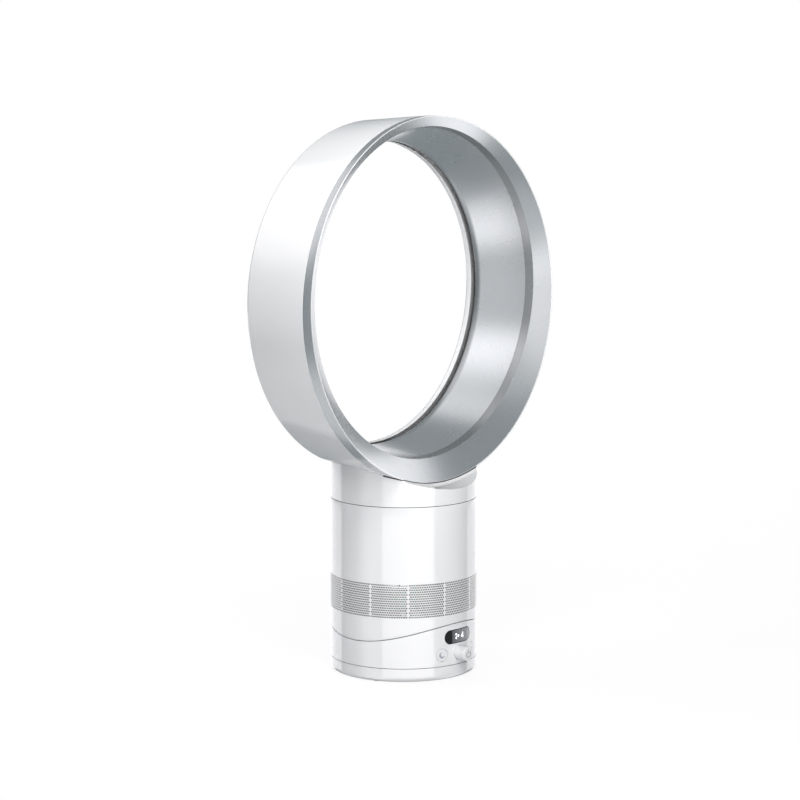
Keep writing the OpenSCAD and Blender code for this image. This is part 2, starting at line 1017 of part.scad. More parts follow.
module body_floor() {
    color(grey)
    difference() {
        union() {
            difference() {
                intersection() {
                    post(seat_r, seam_low, tilt_z - floor_in_r / 2);
                    wave(floor_out_r);
                }
                wave(floor_in_r);
            }
            for (x = [-power_post_x, power_post_x])
                for (y = [-power_post_y, power_post_y])
                    translate([x, y, 0])
                        post(power_post_r, floor_top_z, power_z);
        }
        for (x = [-rail_x, rail_x])
            tilt_arc(floor_out_r + over, floor_in_r - over, x - rail_slot_w / 2, x + rail_slot_w / 2, slot_a);
        tilt_arc(floor_out_r + over, floor_in_r - over, -wire_w / 2, wire_w / 2, wire_a + tilt_max);
        at_angles([0, 180], body_boss_ring_r) {
            post(screw_r + fit, seam_low - over, floor_top_z + over);
            post(screw_head_r + fit, seam_low - over, seam_low + seam / 2 + screw_head_h + fit);
        }
    }
}

module power_board() {
    color(board_green)
    union() {
        translate([-power_w / 2, -power_d / 2, power_z])
            cube([power_w, power_d, board_t]);
        for (p = power_parts)
            translate([p[0] - p[2] / 2, p[1] - p[3] / 2, power_z + board_t - sink])
                cube([p[2], p[3], p[4] + sink]);
    }
}

module fan_bulkhead() {
    color(grey)
    ring(seat_r, bulkhead_hole_r, bulkhead_z, bulkhead_top);
}

module bulkhead_mounts() {
    color(rubber)
    round_z(mounts_n, mount_ring_r, mount_a)
        post(mount_r, bulkhead_top, mount_flange_z);
}

// Inner radius of the shroud, from the eye to the impeller's exit
function shroud_r(u) = eye_r + (shroud_out_r - eye_r) * pow(u, shroud_power);
// Radius of the impeller's hub, from the eye to the exit
function hub_r(u) = hub_in_r + (hub_out_r - hub_in_r) * pow(u, 1 / hub_power);
// Inner outline of the air path, from the bell mouth up to the duct's top
shroud_path = concat(
    [for (a = [90:-15:15]) [eye_r + bell_r * (1 - cos(a)), eye_z - bell_r * sin(a)]],
    [
        for (k = [0:shroud_steps])
            [shroud_r(k / shroud_steps), eye_z + impeller_h * k / shroud_steps]
    ],
    [[duct_r, duct_z], [duct_r, duct_top]]
);

module impeller_housing() {
    outside = [for (i = [len(shroud_path) - 1:-1:0]) shroud_path[i] + [shroud_t, 0]];
    color(grey)
    union() {
        rotate_extrude()
            polygon(concat(shroud_path, outside));
        ring(mount_flange_r, eye_r + shroud_t / 2, mount_flange_z, mount_flange_z + mount_flange_t);
        ring(seat_r, duct_r + shroud_t / 2, duct_top - top_flange_t, duct_top);
    }
}

module vane_ring() {
    vane_in = bucket_r + fit;
    vane_out = duct_r - fit;
    color(grey)
    union() {
        ring(vane_in + vane_wall, vane_in, vane_z, vane_z + vane_h);
        ring(vane_out, vane_out - vane_wall, vane_z, vane_z + vane_h);
        intersection() {
            ring(vane_out - sink, vane_in + sink, vane_z, vane_z + vane_h);
            for (i = [0:vane_n - 1])
                rotate([0, 0, i * 360 / vane_n])
                    translate([vane_in, 0, vane_z + vane_h / 2])
                        rotate([vane_lean, 0, 0])
                            translate([0, -vane_t / 2, -vane_h])
                                cube([vane_out - vane_in, vane_t, 2 * vane_h]);
        }
    }
}

module motor_bucket() {
    color(grey)
    difference() {
        union() {
            difference() {
                post(bucket_r, bucket_z, bucket_top);
                post(bucket_r - bucket_wall, bucket_z + bucket_wall, bucket_top + over);
            }
            post(bearing_boss_r, bucket_z + bucket_wall - sink, bucket_z + bucket_wall + bearing_h);
        }
        post(shaft_hole_r, bucket_z - over, bucket_z + bucket_wall + over);
        post(bearing_r + fit, bucket_z + bucket_wall, bucket_top);
    }
}

module bucket_cap() {
    dome_r = (bucket_r * bucket_r + dome_h * dome_h) / (2 * dome_h);
    color(grey)
    union() {
        rotate_extrude()
            intersection() {
                difference() {
                    translate([0, bucket_top + dome_h - dome_r])
                        circle(r = dome_r);
                    translate([0, bucket_top + dome_h - dome_r])
                        circle(r = dome_r - dome_t);
                }
                band(0, bucket_r, bucket_top, bucket_top + dome_h + over);
            }
        ring(bucket_r - 2 * sink, 0, bucket_top, bucket_top + dome_flat_t);
        ring(bearing_boss_r, bearing_r + fit, upper_bearing_z, bucket_top + sink);
    }
}

module motor_stator() {
    color(brass)
    difference() {
        ring(bucket_r - bucket_wall - fit, stator_bore_r, stator_z, stator_z + stator_h);
        for (i = [0:stator_slots - 1])
            rotate([0, 0, i * 360 / stator_slots])
                translate([stator_bore_r - over, -stator_slot_w / 2, stator_z - over])
                    cube([bucket_r - stator_bore_r - stator_rim_t, stator_slot_w, stator_h + 2 * over]);
    }
}

module motor_bearings() {
    color(steel)
    for (z = [bucket_z + bucket_wall, upper_bearing_z])
        ring(bearing_r, motor_shaft_r + shaft_gap, z, z + bearing_h);
}

module bayonet_ring() {
    track_r = skirt_r + lug_out + bayonet_gap;
    reach_a = lug_a / 2 + lug_spare_a;
    color(grey)
    difference() {
        ring(seat_r, seat_r - bayonet_wall, bayonet_z, bayonet_top);
        for (i = [0:lugs_n - 1])
            rotate([0, 0, i * 360 / lugs_n]) {
                ring_arc(track_r, skirt_r, lug_z - run_gap, lug_z + lug_h + run_gap, -reach_a, twist_max);
                ring_arc(track_r + fit, skirt_r, lug_z - run_gap - fit, bayonet_top + over,
                    twist_max - reach_a, twist_max + reach_a);
            }
    }
}

module neck_seal() {
    color(rubber)
    ring(seat_r, duct_r + seal_inset, seal_z, seal_z + seal_t);
}

module body_screws() {
    color(steel)
    at_angles([0, 180], body_boss_ring_r)
        screw_up(seam_low + seam / 2 + fit, floor_top_z + thread_l);
}

// Rotor

// One blade as a grid of points along the air path (u) and from hub to tip (t), on two sides
module impeller_blade() {
    side = (blade_us + 1) * (blade_ts + 1);
    row = blade_ts + 1;
    points = [
        for (s = [-1, 1])
            for (i = [0:blade_us])
                for (j = [0:blade_ts])
                    let (
                        u = blade_end_share + (1 - 2 * blade_end_share) * i / blade_us,
                        foot = hub_r(u) - blade_root,
                        r = foot + (shroud_r(u) - tip_gap - foot) * j / blade_ts,
                        a = blade_wrap * u + s * blade_t / 2 / r * 180 / PI
                    )
                    [r * cos(a), r * sin(a), eye_z + impeller_h * u]
    ];
    quads = [
        for (i = [0:blade_us - 1])
            for (j = [0:blade_ts - 1])
                let (k = i * row + j)
                each [
                    [k, k + row, k + row + 1], [k, k + row + 1, k + 1],
                    [side + k, side + k + 1, side + k + row + 1],
                    [side + k, side + k + row + 1, side + k + row]
                ]
    ];
    long_rims = [
        for (i = [0:blade_us - 1])
            let (k = i * row, m = k + blade_ts)
            each [
                [k, side + k, side + k + row], [k, side + k + row, k + row],
                [m, m + row, side + m + row], [m, side + m + row, side + m]
            ]
    ];
    end_rims = [
        for (j = [0:blade_ts - 1])
            let (k = j, m = blade_us * row + j)
            each [
                [k, k + 1, side + k + 1], [k, side + k + 1, side + k],
                [m, side + m, side + m + 1], [m, side + m + 1, m + 1]
            ]
    ];
    polyhedron(points = points, faces = concat(quads, long_rims, end_rims));
}

module impeller() {
    hub = concat(
        [[0, eye_z - nose_h]],
        [for (a = [60:-30:0]) [hub_in_r * cos(a), eye_z - nose_h * sin(a)]],
        [for (k = [1:hub_steps]) [hub_r(k / hub_steps), eye_z + impeller_h * k / hub_steps]],
        [[hub_out_r - hub_back_t, exit_z], [motor_shaft_r + hub_back_t, hub_turn_z], [0, hub_turn_z]]
    );
    color(grey)
    difference() {
        union() {
            rotate_extrude()
                polygon(hub);
            for (i = [0:blades - 1])
                rotate([0, 0, i * 360 / blades])
                    impeller_blade();
        }
        post(motor_shaft_r + fit, eye_z - nose_h + 2 * over, exit_z);
    }
}

module motor_rotor() {
    color(steel)
    union() {
        post(motor_shaft_r, eye_z - nose_h + 2 * over, bucket_top - run_gap);
        post(stator_bore_r - magnet_gap, stator_z, stator_z + stator_h);
    }
}

// Loop

// Space that the loop and the ledges beside it take from the collar, grown by a margin
module saddle(grow) {
    ledge_y = front_reach + seam;
    back_y = loop_back + seam;
    about_y(loop_z)
        polygon([
            [0, -body_r - over], [loop_r + ledge_far + grow, -body_r - over],
            [loop_r + ledge_near + grow, -ledge_y], [loop_r + fit + grow, -ledge_y],
            [loop_r + fit + grow, -loop_front], [rear_r + fit + grow, edge_y],
            [rear_r + fit + grow, back_y], [rear_r + ledge_near + grow, back_y],
            [rear_r + ledge_far + grow, body_r + over], [0, body_r + over],
        ]);
}

// Upright passage with round corners between the collar and the loop
module port(z_low, z_high) {
    translate([0, 0, z_low])
        linear_extrude(height = z_high - z_low) {
            translate([-port_x, -port_front + port_corner_r])
                square([2 * port_x, port_front + port_back - 2 * port_corner_r]);
            translate([-port_x + port_corner_r, -port_front])
                square([2 * (port_x - port_corner_r), port_front + port_back]);
            for (x = [-port_x + port_corner_r, port_x - port_corner_r])
                for (y = [-port_front + port_corner_r, port_back - port_corner_r])
                    translate([x, y])
                        circle(r = port_corner_r);
        }
}

module at_loop_screws() {
    for (x = [-loop_screw_x, loop_screw_x])
        for (y = loop_screw_ys)
            translate([x, y, 0])
                children();
}

module neck_collar() {
    top = loop_z - loop_r * cos(asin(body_r / loop_r)) + loop_taper;
    color(white)
    difference() {
        union() {
            difference() {
                union() {
                    difference() {
                        post(body_r, collar_z, top);
                        difference() {
                            post(in_r, collar_z - over, top);
                            saddle(wall);
                        }
                    }
                    at_loop_screws()
                        post(loop_pad_r, loop_pad_z, top);
                }
                saddle(0);
            }
            ring(in_r + sink, skirt_r - skirt_t, collar_z, collar_z + wall);
            ring(skirt_r, skirt_r - skirt_t, skirt_low, collar_z + sink);
            for (i = [0:lugs_n - 1])
                ring_arc(skirt_r + lug_out, skirt_r - sink, lug_z, lug_z + lug_h,
                    i * 360 / lugs_n - lug_a / 2, i * 360 / lugs_n + lug_a / 2);
        }
        port(collar_z + wall + over, top + over);
        at_loop_screws()
            post(screw_r + fit, loop_pad_z - over, top);
    }
}

module loop_shell() {
    color(white)
    difference() {
        union() {
            about_y(loop_z) {
                polygon([
                    [loop_r, -loop_front], [rear_r, edge_y],
                    [rear_r - loop_wall, edge_y], [loop_r - loop_wall, -loop_front],
                ]);
                curl(edge_back_r, loop_wall, rear_r - edge_back_r, edge_y, 0, edge_back_r + over);
            }
            about_y(throat_z) {
                band(throat_r, throat_r + lip_t, lip_y, edge_y);
                curl(edge_back_r, lip_t, throat_r + edge_back_r, edge_y, -edge_back_r - over, 0);
            }
            difference() {
                translate([0, 0, loop_z])
                    bar_y(rear_r - edge_back_r + sink / 2, loop_back - loop_wall, loop_back);
                translate([0, 0, throat_z])
                    bar_y(throat_r + edge_back_r - sink / 2, loop_back - loop_wall - over, loop_back + over);
            }
            intersection() {
                at_loop_screws()
                    post(boss_r, loop_screw_top - loop_taper, loop_screw_top + loop_boss_h);
                about_y(loop_z)
                    polygon([
                        [0, -loop_front], [loop_r, -loop_front], [rear_r, edge_y], [0, edge_y],
                    ]);
            }
        }
        port(loop_z - loop_r - over, loop_z - throat_r);
        at_loop_screws()
            post(screw_r + fit, loop_pad_z, loop_screw_top + thread_l + loop_taper);
    }
}

module diffuser() {
    front = -step_y + fit;
    color(silver)
    union() {
        about_y(throat_z)
            polygon([
                [step_r, front], [diffuser_r, nose_y],
                [diffuser_r + trim_t, nose_y], [step_r + trim_t, front],
            ]);
        about_y(throat_z)
            curl(nose_r, trim_t, diffuser_r + nose_r, nose_y, -nose_r - over, nose_r + over);
        about_y(throat_z)
            band(step_r + sink, gasket_out_r, front, front + trim_t);
    }
}

module front_trim() {
    far_r = loop_r + ring_offset + over;
    far_y = face_y + face_slope_share * (far_r - face_r);
    color(silver)
    union() {
        intersection() {
            about_y(loop_z) {
                band(loop_r - trim_t, loop_r, -far_y, -loop_front);
                band(tongue_r - trim_t, loop_r - sink, -loop_front - trim_t, -loop_front);
                band(tongue_r - trim_t, tongue_r, -loop_front - trim_t, tongue_l - loop_front);
            }
            about_y(throat_z)
                polygon([
                    [0, -face_y], [face_r, -face_y], [far_r, -far_y],
                    [far_r, tongue_l - loop_front], [0, tongue_l - loop_front],
                ]);
        }
        intersection() {
            about_y(throat_z)
                polygon([
                    [face_r, -face_y], [far_r, -far_y],
                    [far_r, -far_y + trim_t], [face_r, -face_y + trim_t],
                ]);
            translate([0, 0, loop_z])
                bar_y(loop_r - trim_t / 2, -far_y - over, 0);
        }
        about_y(throat_z) {
            polygon([
                [step_r, -step_y], [face_r, -face_y],
                [face_r + trim_t, -face_y], [step_r + trim_t, -step_y],
            ]);
            band(step_r + trim_t - sink, gasket_out_r, -step_y - gasket_t - trim_t, -step_y - gasket_t);
        }
    }
}

module slot_spacers() {
    color(acetal)
    intersection() {
        about_y(throat_z)
            difference() {
                band(throat_r + lip_t + fit, diffuser_r + nose_r, lip_y, lip_y + spacer_l);
                translate([diffuser_r + nose_r, nose_y])
                    circle(r = nose_r + fit);
            }
        for (i = [0:spacers_n - 1])
            translate([0, 0, throat_z])
                rotate([0, i * 360 / spacers_n, 0])
                    translate([0, lip_y - over, -spacer_w / 2])
                        cube([loop_r, 2 * edge_back_r, spacer_w]);
    }
}

module front_gasket() {
    color(rubber)
    about_y(throat_z)
        band(gasket_in_r, gasket_out_r, -step_y - gasket_t + fit, -step_y);
}

module loop_screws() {
    color(steel)
    at_loop_screws()
        screw_up(loop_pad_z - screw_head_h, loop_screw_top + thread_l);
}

foot_tray();
rubber_feet();
ballast_plate();
spindle();
fixed_gear();
glide_ring();
lead_grommet();
foot_screws();
spindle_clip();
turntable();
turntable_bush();
lower_housing();
cradle();
rail_caps();
tilt_glides();
rail_screws();
oscillation_motor();
motor_screws();
control_board();
display_window();
encoder_body();
button_switches();
base_screws();
drive_pinion();
dial_plunger();
dial_knob();
dial_shaft();
night_button();
swing_button();
body_shell();
body_floor();
power_board();
fan_bulkhead();
bulkhead_mounts();
impeller_housing();
vane_ring();
motor_bucket();
bucket_cap();
motor_stator();
motor_bearings();
bayonet_ring();
neck_seal();
body_screws();
impeller();
motor_rotor();
neck_collar();
loop_shell();
diffuser();
front_trim();
slot_spacers();
front_gasket();
loop_screws();
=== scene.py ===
"""Looks of the bladeless desk fan: finished surfaces, materials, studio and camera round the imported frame.

Lengths are in metres, and MM turns the real sizes, given in millimetres, into them.
"""

import json
import math

import bpy
import numpy as np
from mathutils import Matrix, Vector


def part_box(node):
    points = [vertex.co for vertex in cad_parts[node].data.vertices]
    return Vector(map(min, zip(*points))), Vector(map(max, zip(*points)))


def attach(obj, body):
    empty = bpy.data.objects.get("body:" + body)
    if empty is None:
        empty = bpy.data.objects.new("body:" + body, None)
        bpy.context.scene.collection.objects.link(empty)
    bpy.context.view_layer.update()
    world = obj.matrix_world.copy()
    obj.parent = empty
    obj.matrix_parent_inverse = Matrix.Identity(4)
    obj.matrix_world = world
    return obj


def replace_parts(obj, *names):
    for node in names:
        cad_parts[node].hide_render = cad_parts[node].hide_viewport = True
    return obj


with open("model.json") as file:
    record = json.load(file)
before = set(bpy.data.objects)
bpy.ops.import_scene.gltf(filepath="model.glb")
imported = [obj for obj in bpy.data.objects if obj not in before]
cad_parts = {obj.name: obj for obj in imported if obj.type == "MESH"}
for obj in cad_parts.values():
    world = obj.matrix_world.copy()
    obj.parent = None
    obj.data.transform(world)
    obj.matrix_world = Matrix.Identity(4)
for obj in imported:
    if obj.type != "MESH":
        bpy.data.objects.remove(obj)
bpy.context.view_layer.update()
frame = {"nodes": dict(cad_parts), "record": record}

MM = 0.001

# Faces that meet at a wider angle than this keep a sharp edge
SHARP_A = math.radians(30)

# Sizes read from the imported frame. The turntable stays clear of the wall by a small gap
BODY_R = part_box("foot_tray")[1].x
BODY_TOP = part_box("body_shell")[1].z
TURNTABLE_GAP = 0.1 * MM
WALL = BODY_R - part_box("turntable")[1].x - TURNTABLE_GAP
KNOB_LOW, KNOB_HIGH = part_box("dial_knob")
KNOB_Z = (KNOB_LOW.z + KNOB_HIGH.z) / 2
KNOB_R = KNOB_HIGH.x
WINDOW_LOW, WINDOW_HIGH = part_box("display_window")
WINDOW_Z = (WINDOW_LOW.z + WINDOW_HIGH.z) / 2
LOOP_FRONT = -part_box("loop_shell")[0].y
LOOP_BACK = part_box("loop_shell")[1].y
LOOP_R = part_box("loop_shell")[1].x
LOOP_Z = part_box("loop_shell")[1].z - LOOP_R

# Tilt seam: the body's lower edge lies on a cylinder about the tilt axis
TILT_Z = 211 * MM
TILT_R = 171.2 * MM
EDGE_BEAD = 0.35 * MM

# Intake grille: staggered rows of fine holes in twelve panels, one of them centred on the front. A hole has
# its first corner at the lower left, in the direction HOLE_TURN
PANELS = 12
LONG_ROW = 16
GRILLE_ROWS = 15
GRILLE_LOW = 65.7 * MM
ROW_PITCH = 2.264 * MM
HOLE_PITCH = math.radians(1.84)
HOLE_R = 0.88 * MM
HOLE_SIDES = 8
HOLE_TURN = math.radians(-112.5)

# Painted shade in the holes: depth to which the shell's wall keeps its white, and the depth over which it
# goes dark
HOLE_SHADE_DEPTH = 0.15 * MM
HOLE_SHADE_FADE = 0.1 * MM

# Loop: the outer shell turns about one axis, the throat's front about another, a little higher, and its
# rear, with the air slot, about one between them. The nose runs between two angles in degrees
THROAT_Z = LOOP_Z + 6 * MM
REAR_Z = LOOP_Z + 2 * MM
LOOP_STEPS = 360
SHELL_TAPER = 6.5 * MM
SHELL_WALL = 2.2 * MM
SHELL_BEAD = 0.4 * MM
REAR_ROUND = 5 * MM
THROAT_R = 150.2 * MM
LIP_T = 1.2 * MM
LIP_Y = 40 * MM
LIP_BEAD = 0.45 * MM
FACE_R = 162.8 * MM
FACE_Y = 32.9 * MM
FACE_SLOPE = 0.6975
FACE_BEAD = 0.4 * MM
STEP_R = 161.6 * MM
STEP_Y = 23.5 * MM
STEP_GAP = 0.1 * MM
DIFFUSER_R = 150.8 * MM
NOSE_R = 14 * MM
NOSE_Y = 29.8 * MM
NOSE_START, NOSE_END = 192, 84
TRIM_T = 2 * MM
TONGUE_L = 8 * MM
TONGUE_GAP = 0.8 * MM
FLANGE_R = 171 * MM
BAND_BEAD = 0.35 * MM
RIM_W = 1.3 * MM
RIM_ROUND = 0.55 * MM
RIM_CUT_SHARE = 0.97
RIM_DEPTH_SHARE = 1.2

# Webs on the lip inside the air slot: width across, height off the lip, length along Y, distance behind the
# lip's edge and depth in the lip
WEBS = 12
WEB_W = 1.6 * MM
WEB_H = 2 * MM
WEB_L = 1 * MM
WEB_INSET = 2.2 * MM
WEB_SINK = 0.2 * MM

# Dark strip of painted shadow in the gap between the loop and the collar: its width, the angle that it runs
# to each way, how far it reaches to the front and back of its path, how far it stands out, how much lower its
# ends lie, and over what distance behind the rim they come down
GAP_SHADOW_W = 0.9 * MM
GAP_SHADOW_A = math.radians(21.5)
GAP_SHADOW_FRONT = 0.55 * MM
GAP_SHADOW_BACK = 0.3 * MM
GAP_SHADOW_PROUD = 0.1 * MM
GAP_SHADOW_DROP = 0.72 * MM
GAP_SHADOW_EASE = 1 * MM
GAP_SHADOW_STEPS = 81

# Controls: faces of the buttons and the window, the marks' thickness, and the display's paler field, a
# painted glow
BUTTON_A = math.radians(17.3)
BUTTON_FACE_R = BODY_R - 0.1 * MM
WINDOW_FACE_R = BODY_R - 0.05 * MM
GLYPH_T = 0.06 * MM
FIELD_LEFT = -9.5 * MM
FIELD_RIGHT = 17 * MM
FIELD_SIDE_FADE = 0.2 * MM
FIELD_BORDER = 0.65 * MM
FIELD_BORDER_FADE = 0.15 * MM

# Painted shade on the silver along Y: its start, its end and the share of tone that is left, first for the
# step behind the front's face, then for the inside towards the nose
STEP_SHADE = (-32.8 * MM, -32.6 * MM, 0.58)
NOSE_SHADE = (26 * MM, 38 * MM, 0.3)

# Camera: solved from the photograph's ellipses, for a picture of 800 by 800. Names with PX are in its pixels,
# and the sensor's width is in millimetres
PICTURE = 800
CAMERA_A = math.radians(-48.57)
CAMERA_E = math.radians(8.08)
CAMERA_FAR = 2879.5 * MM
CAMERA_TARGET_Z = 266.05 * MM
FOCAL_PX = 2905.25
CENTRE_PX = (403.5, 403.98)
SENSOR = 36


def unit(v):
    """Vectors of an array divided by their lengths."""
    return v / np.linalg.norm(v, axis=-1, keepdims=True)


def turns(steps):
    """Equal angles round a full circle, without the last."""
    return np.arange(steps) * 2 * np.pi / steps


def about_y(stations, steps=LOOP_STEPS):
    """Circles about axes along Y. A station is a radius, a place along Y and the height of its axis:
    x = radius sin t, y = place, z = axis + radius cos t."""
    r, y, axis = np.asarray(stations, float).T[:, :, None]
    t = turns(steps)
    return np.stack([r * np.sin(t), y + 0 * t, axis + r * np.cos(t)], -1)


def arc(centre, radius, start, end, axis, steps=8):
    """Stations of a round stretch in a profile: radius = centre + r cos a and place = centre + r sin a, with
    the angle a from start to end in degrees."""
    a = np.radians(np.linspace(start, end, steps + 1))
    return [(centre[0] + radius * np.cos(k), centre[1] + radius * np.sin(k), axis) for k in a]


def soften(curves, reach, steps=4):
    """Rounds a ring of curves. A curve with a reach gives way to a quadratic bend that starts that far
    towards the curve before it and ends that far towards the curve after it."""
    t = np.linspace(0, 1, steps + 1)[:, None, None]
    bends = []
    for before, here, after, r in zip(np.roll(curves, 1, 0), curves, np.roll(curves, -1, 0), reach):
        start = here + r * unit(before - here)
        end = here + r * unit(after - here)
        bend = (1 - t) ** 2 * start + 2 * t * (1 - t) * here + t ** 2 * end
        bends.append(bend if r else here[None])
    return np.concatenate(bends)


def stack_quads(rows, cols, first=0, closed=True):
    """Quads that join each closed curve of a stack to the next, and the last to the first when closed."""
    i, j = np.meshgrid(np.arange(rows if closed else rows - 1), np.arange(cols), indexing="ij")
    up, on = (i + 1) % rows, (j + 1) % cols
    quads = np.stack([i * cols + j, i * cols + on, up * cols + on, up * cols + j], -1)
    return first + quads.reshape(-1, 4)


def make_piece(name, points, faces, material, body):
    """Mesh of points and arrays of faces. The sum of a . (b x c) over its triangles is six times its volume,
    and where that comes out negative the faces are turned round."""
    six_volumes = 0
    for f in faces:
        for k in range(1, f.shape[1] - 1):
            a, b, c = points[f[:, 0]], points[f[:, k]], points[f[:, k + 1]]
            six_volumes += np.einsum("ij,ij->", a, np.cross(b, c))
    if six_volumes < 0:
        faces = [f[:, ::-1] for f in faces]
    corners = np.concatenate([f.ravel() for f in faces]).astype(np.int32)
    sizes = np.concatenate([np.full(len(f), f.shape[1]) for f in faces])
    mesh = bpy.data.meshes.new(name)
    mesh.vertices.add(len(points))
    mesh.vertices.foreach_set("co", points.astype(np.float32).ravel())
    mesh.loops.add(len(corners))
    mesh.loops.foreach_set("vertex_index", corners)
    mesh.polygons.add(len(sizes))
    mesh.polygons.foreach_set("loop_start", np.concatenate([[0], np.cumsum(sizes)[:-1]]).astype(np.int32))
    mesh.polygons.foreach_set("use_smooth", np.ones(len(sizes), bool))
    mesh.update(calc_edges=True)
    mesh.validate()
    mesh.set_sharp_from_angle(angle=SHARP_A)
    mesh.materials.append(material)
    piece = bpy.data.objects.new(name, mesh)
    bpy.context.scene.collection.objects.link(piece)
    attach(piece, body)
    return piece


def ring_piece(name, curves, material, body):
    """Closed ring through a stack of closed curves, the last joined to the first."""
    rows, cols = curves.shape[:2]
    return make_piece(name, curves.reshape(-1, 3), [stack_quads(rows, cols)], material, body)


def capped_piece(name, curves, material, body):
    """Closed solid through a stack of closed curves, with fans to the middle of the first and last."""
    rows, cols = curves.shape[:2]
    points = np.concatenate([curves.reshape(-1, 3), curves[[0, -1]].mean(1)])
    j = np.arange(cols)
    on = (j + 1) % cols
    last = (rows - 1) * cols
    low_fan = np.stack([on, j, np.full(cols, rows * cols)], -1)
    high_fan = np.stack([last + j, last + on, np.full(cols, rows * cols + 1)], -1)
    faces = [stack_quads(rows, cols, closed=False), low_fan, high_fan]
    return make_piece(name, points, faces, material, body)


def inlay(name, patches, place, material, body):
    """Thin printed mark. Each patch is a grid of flat points, which place() lays on the surface at a height
    above it. The slab has the grid above and below the surface and a rim all round."""
    points, faces, first = [], [], 0
    for patch in patches:
        m, n = patch.shape[:2]
        k = np.arange(m * n).reshape(m, n)
        top = np.stack([k[:-1, :-1], k[1:, :-1], k[1:, 1:], k[:-1, 1:]], -1).reshape(-1, 4)
        rim = np.concatenate([k[0, :-1], k[:-1, -1], k[-1, :0:-1], k[:0:-1, 0]])
        on = np.roll(rim, -1)
        side = np.stack([rim, on, on + m * n, rim + m * n], -1)
        faces += [first + top, first + top[:, ::-1] + m * n, first + side]
        points += [place(patch, GLYPH_T / 2).reshape(-1, 3), place(patch, -GLYPH_T / 2).reshape(-1, 3)]
        first += 2 * m * n
    return make_piece(name, np.concatenate(points), faces, material, body)


def on_barrel(angle, height, radius):
    """Lays flat points on the round body: u runs round it from an angle and v upwards from a height."""
    def place(flat, rise):
        a = angle + flat[..., 0] / radius
        r = radius + rise
        return np.stack([r * np.sin(a), -r * np.cos(a), height + flat[..., 1]], -1)
    return place


def on_knob(flat, rise):
    """Lays flat points on the knob's end face, which looks along -Y."""
    return np.stack([flat[..., 0], KNOB_LOW.y - rise + 0 * flat[..., 0], KNOB_Z + flat[..., 1]], -1)


def finish(name, color, **sockets):
    """Material with a Principled shader whose constant sockets are set directly."""
    material = bpy.data.materials.new(name)
    material.use_nodes = True
    shader = material.node_tree.nodes["Principled BSDF"]
    shader.inputs["Base Color"].default_value = (*color, 1)
    for socket, value in sockets.items():
        shader.inputs[socket.replace("_", " ")].default_value = value
    return material, shader


def coordinates(nodes, kind="Object"):
    """Place on the piece, or the direction of view in the world."""
    return nodes.new("ShaderNodeTexCoord").outputs[kind]


def noise(material, scale, detail=2, stretch=(1, 1, 1)):
    """Noise on Object coordinates, with its pattern stretched along each axis."""
    nodes, links = material.node_tree.nodes, material.node_tree.links
    mapping = nodes.new("ShaderNodeMapping")
    mapping.inputs["Scale"].default_value = stretch
    texture = nodes.new("ShaderNodeTexNoise")
    texture.inputs["Scale"].default_value = scale
    texture.inputs["Detail"].default_value = detail
    links.new(coordinates(nodes), mapping.inputs["Vector"])
    links.new(mapping.outputs["Vector"], texture.inputs["Vector"])
    return texture.outputs["Fac"]


def ramp(owner, value, low, high):
    """Value of 0 to 1 spread between two numbers or two colours, in a material or the world."""
    nodes, links = owner.node_tree.nodes, owner.node_tree.links
    colors = isinstance(low, tuple)
    mix = nodes.new("ShaderNodeMix")
    mix.data_type = "RGBA" if colors else "FLOAT"
    ports = [s for s in mix.inputs if s.enabled]
    links.new(value, ports[0])
    ports[1].default_value = (*low, 1) if colors else low
    ports[2].default_value = (*high, 1) if colors else high
    return next(s for s in mix.outputs if s.enabled)


def calculate(nodes, links, operation, *inputs):
    """Sum, product or other operation on numbers and sockets."""
    node = nodes.new("ShaderNodeMath")
    node.operation = operation
    for socket, source in zip(node.inputs, inputs):
        if isinstance(source, (int, float)):
            socket.default_value = source
        else:
            links.new(source, socket)
    return node.outputs["Value"]


def spread(nodes, links, source, start, end, low=0, high=1, kind="LINEAR"):
    """Number that runs from low to high while its source runs from start to end."""
    node = nodes.new("ShaderNodeMapRange")
    node.interpolation_type = kind
    for name, number in zip(("From Min", "From Max", "To Min", "To Max"), (start, end, low, high)):
        node.inputs[name].default_value = number
    links.new(source, node.inputs["Value"])
    return node.outputs["Result"]


def scaled(nodes, links, vector, share):
    """Vector or colour times a number."""
    node = nodes.new("ShaderNodeVectorMath")
    node.operation = "SCALE"
    links.new(vector, node.inputs["Vector"])
    links.new(share, node.inputs["Scale"])
    return node.outputs["Vector"]


def blended(nodes, links, share, first, second):
    """One shader, and a share of another in its place."""
    node = nodes.new("ShaderNodeMixShader")
    for socket, source in zip(node.inputs, (share, first, second)):
        links.new(source, socket)
    return node.outputs["Shader"]


def split(nodes, links, vector):
    """The three numbers of a vector."""
    node = nodes.new("ShaderNodeSeparateXYZ")
    links.new(vector, node.inputs["Vector"])
    return node.outputs


def length(nodes, links, *parts):
    """Square root of the sum of the squares of some numbers."""
    total = 0
    for part in parts:
        total = calculate(nodes, links, "MULTIPLY_ADD", part, part, total)
    return calculate(nodes, links, "SQRT", total)


def bump(material, shader, value, depth):
    """Relief of a given depth on the shader's normal."""
    nodes, links = material.node_tree.nodes, material.node_tree.links
    node = nodes.new("ShaderNodeBump")
    node.inputs["Distance"].default_value = depth
    links.new(value, node.inputs["Height"])
    links.new(node.outputs["Normal"], shader.inputs["Normal"])


def moulded(name, low, high, roughness, grain, depth, **sockets):
    """Moulded plastic: a slight drift of tone and gloss, and a fine grain."""
    material, shader = finish(name, low, **sockets)
    links = material.node_tree.links
    drift = noise(material, 14, 3)
    links.new(ramp(material, drift, low, high), shader.inputs["Base Color"])
    links.new(ramp(material, drift, roughness * 0.85, roughness * 1.15), shader.inputs["Roughness"])
    bump(material, shader, noise(material, grain, 3), depth)
    return material


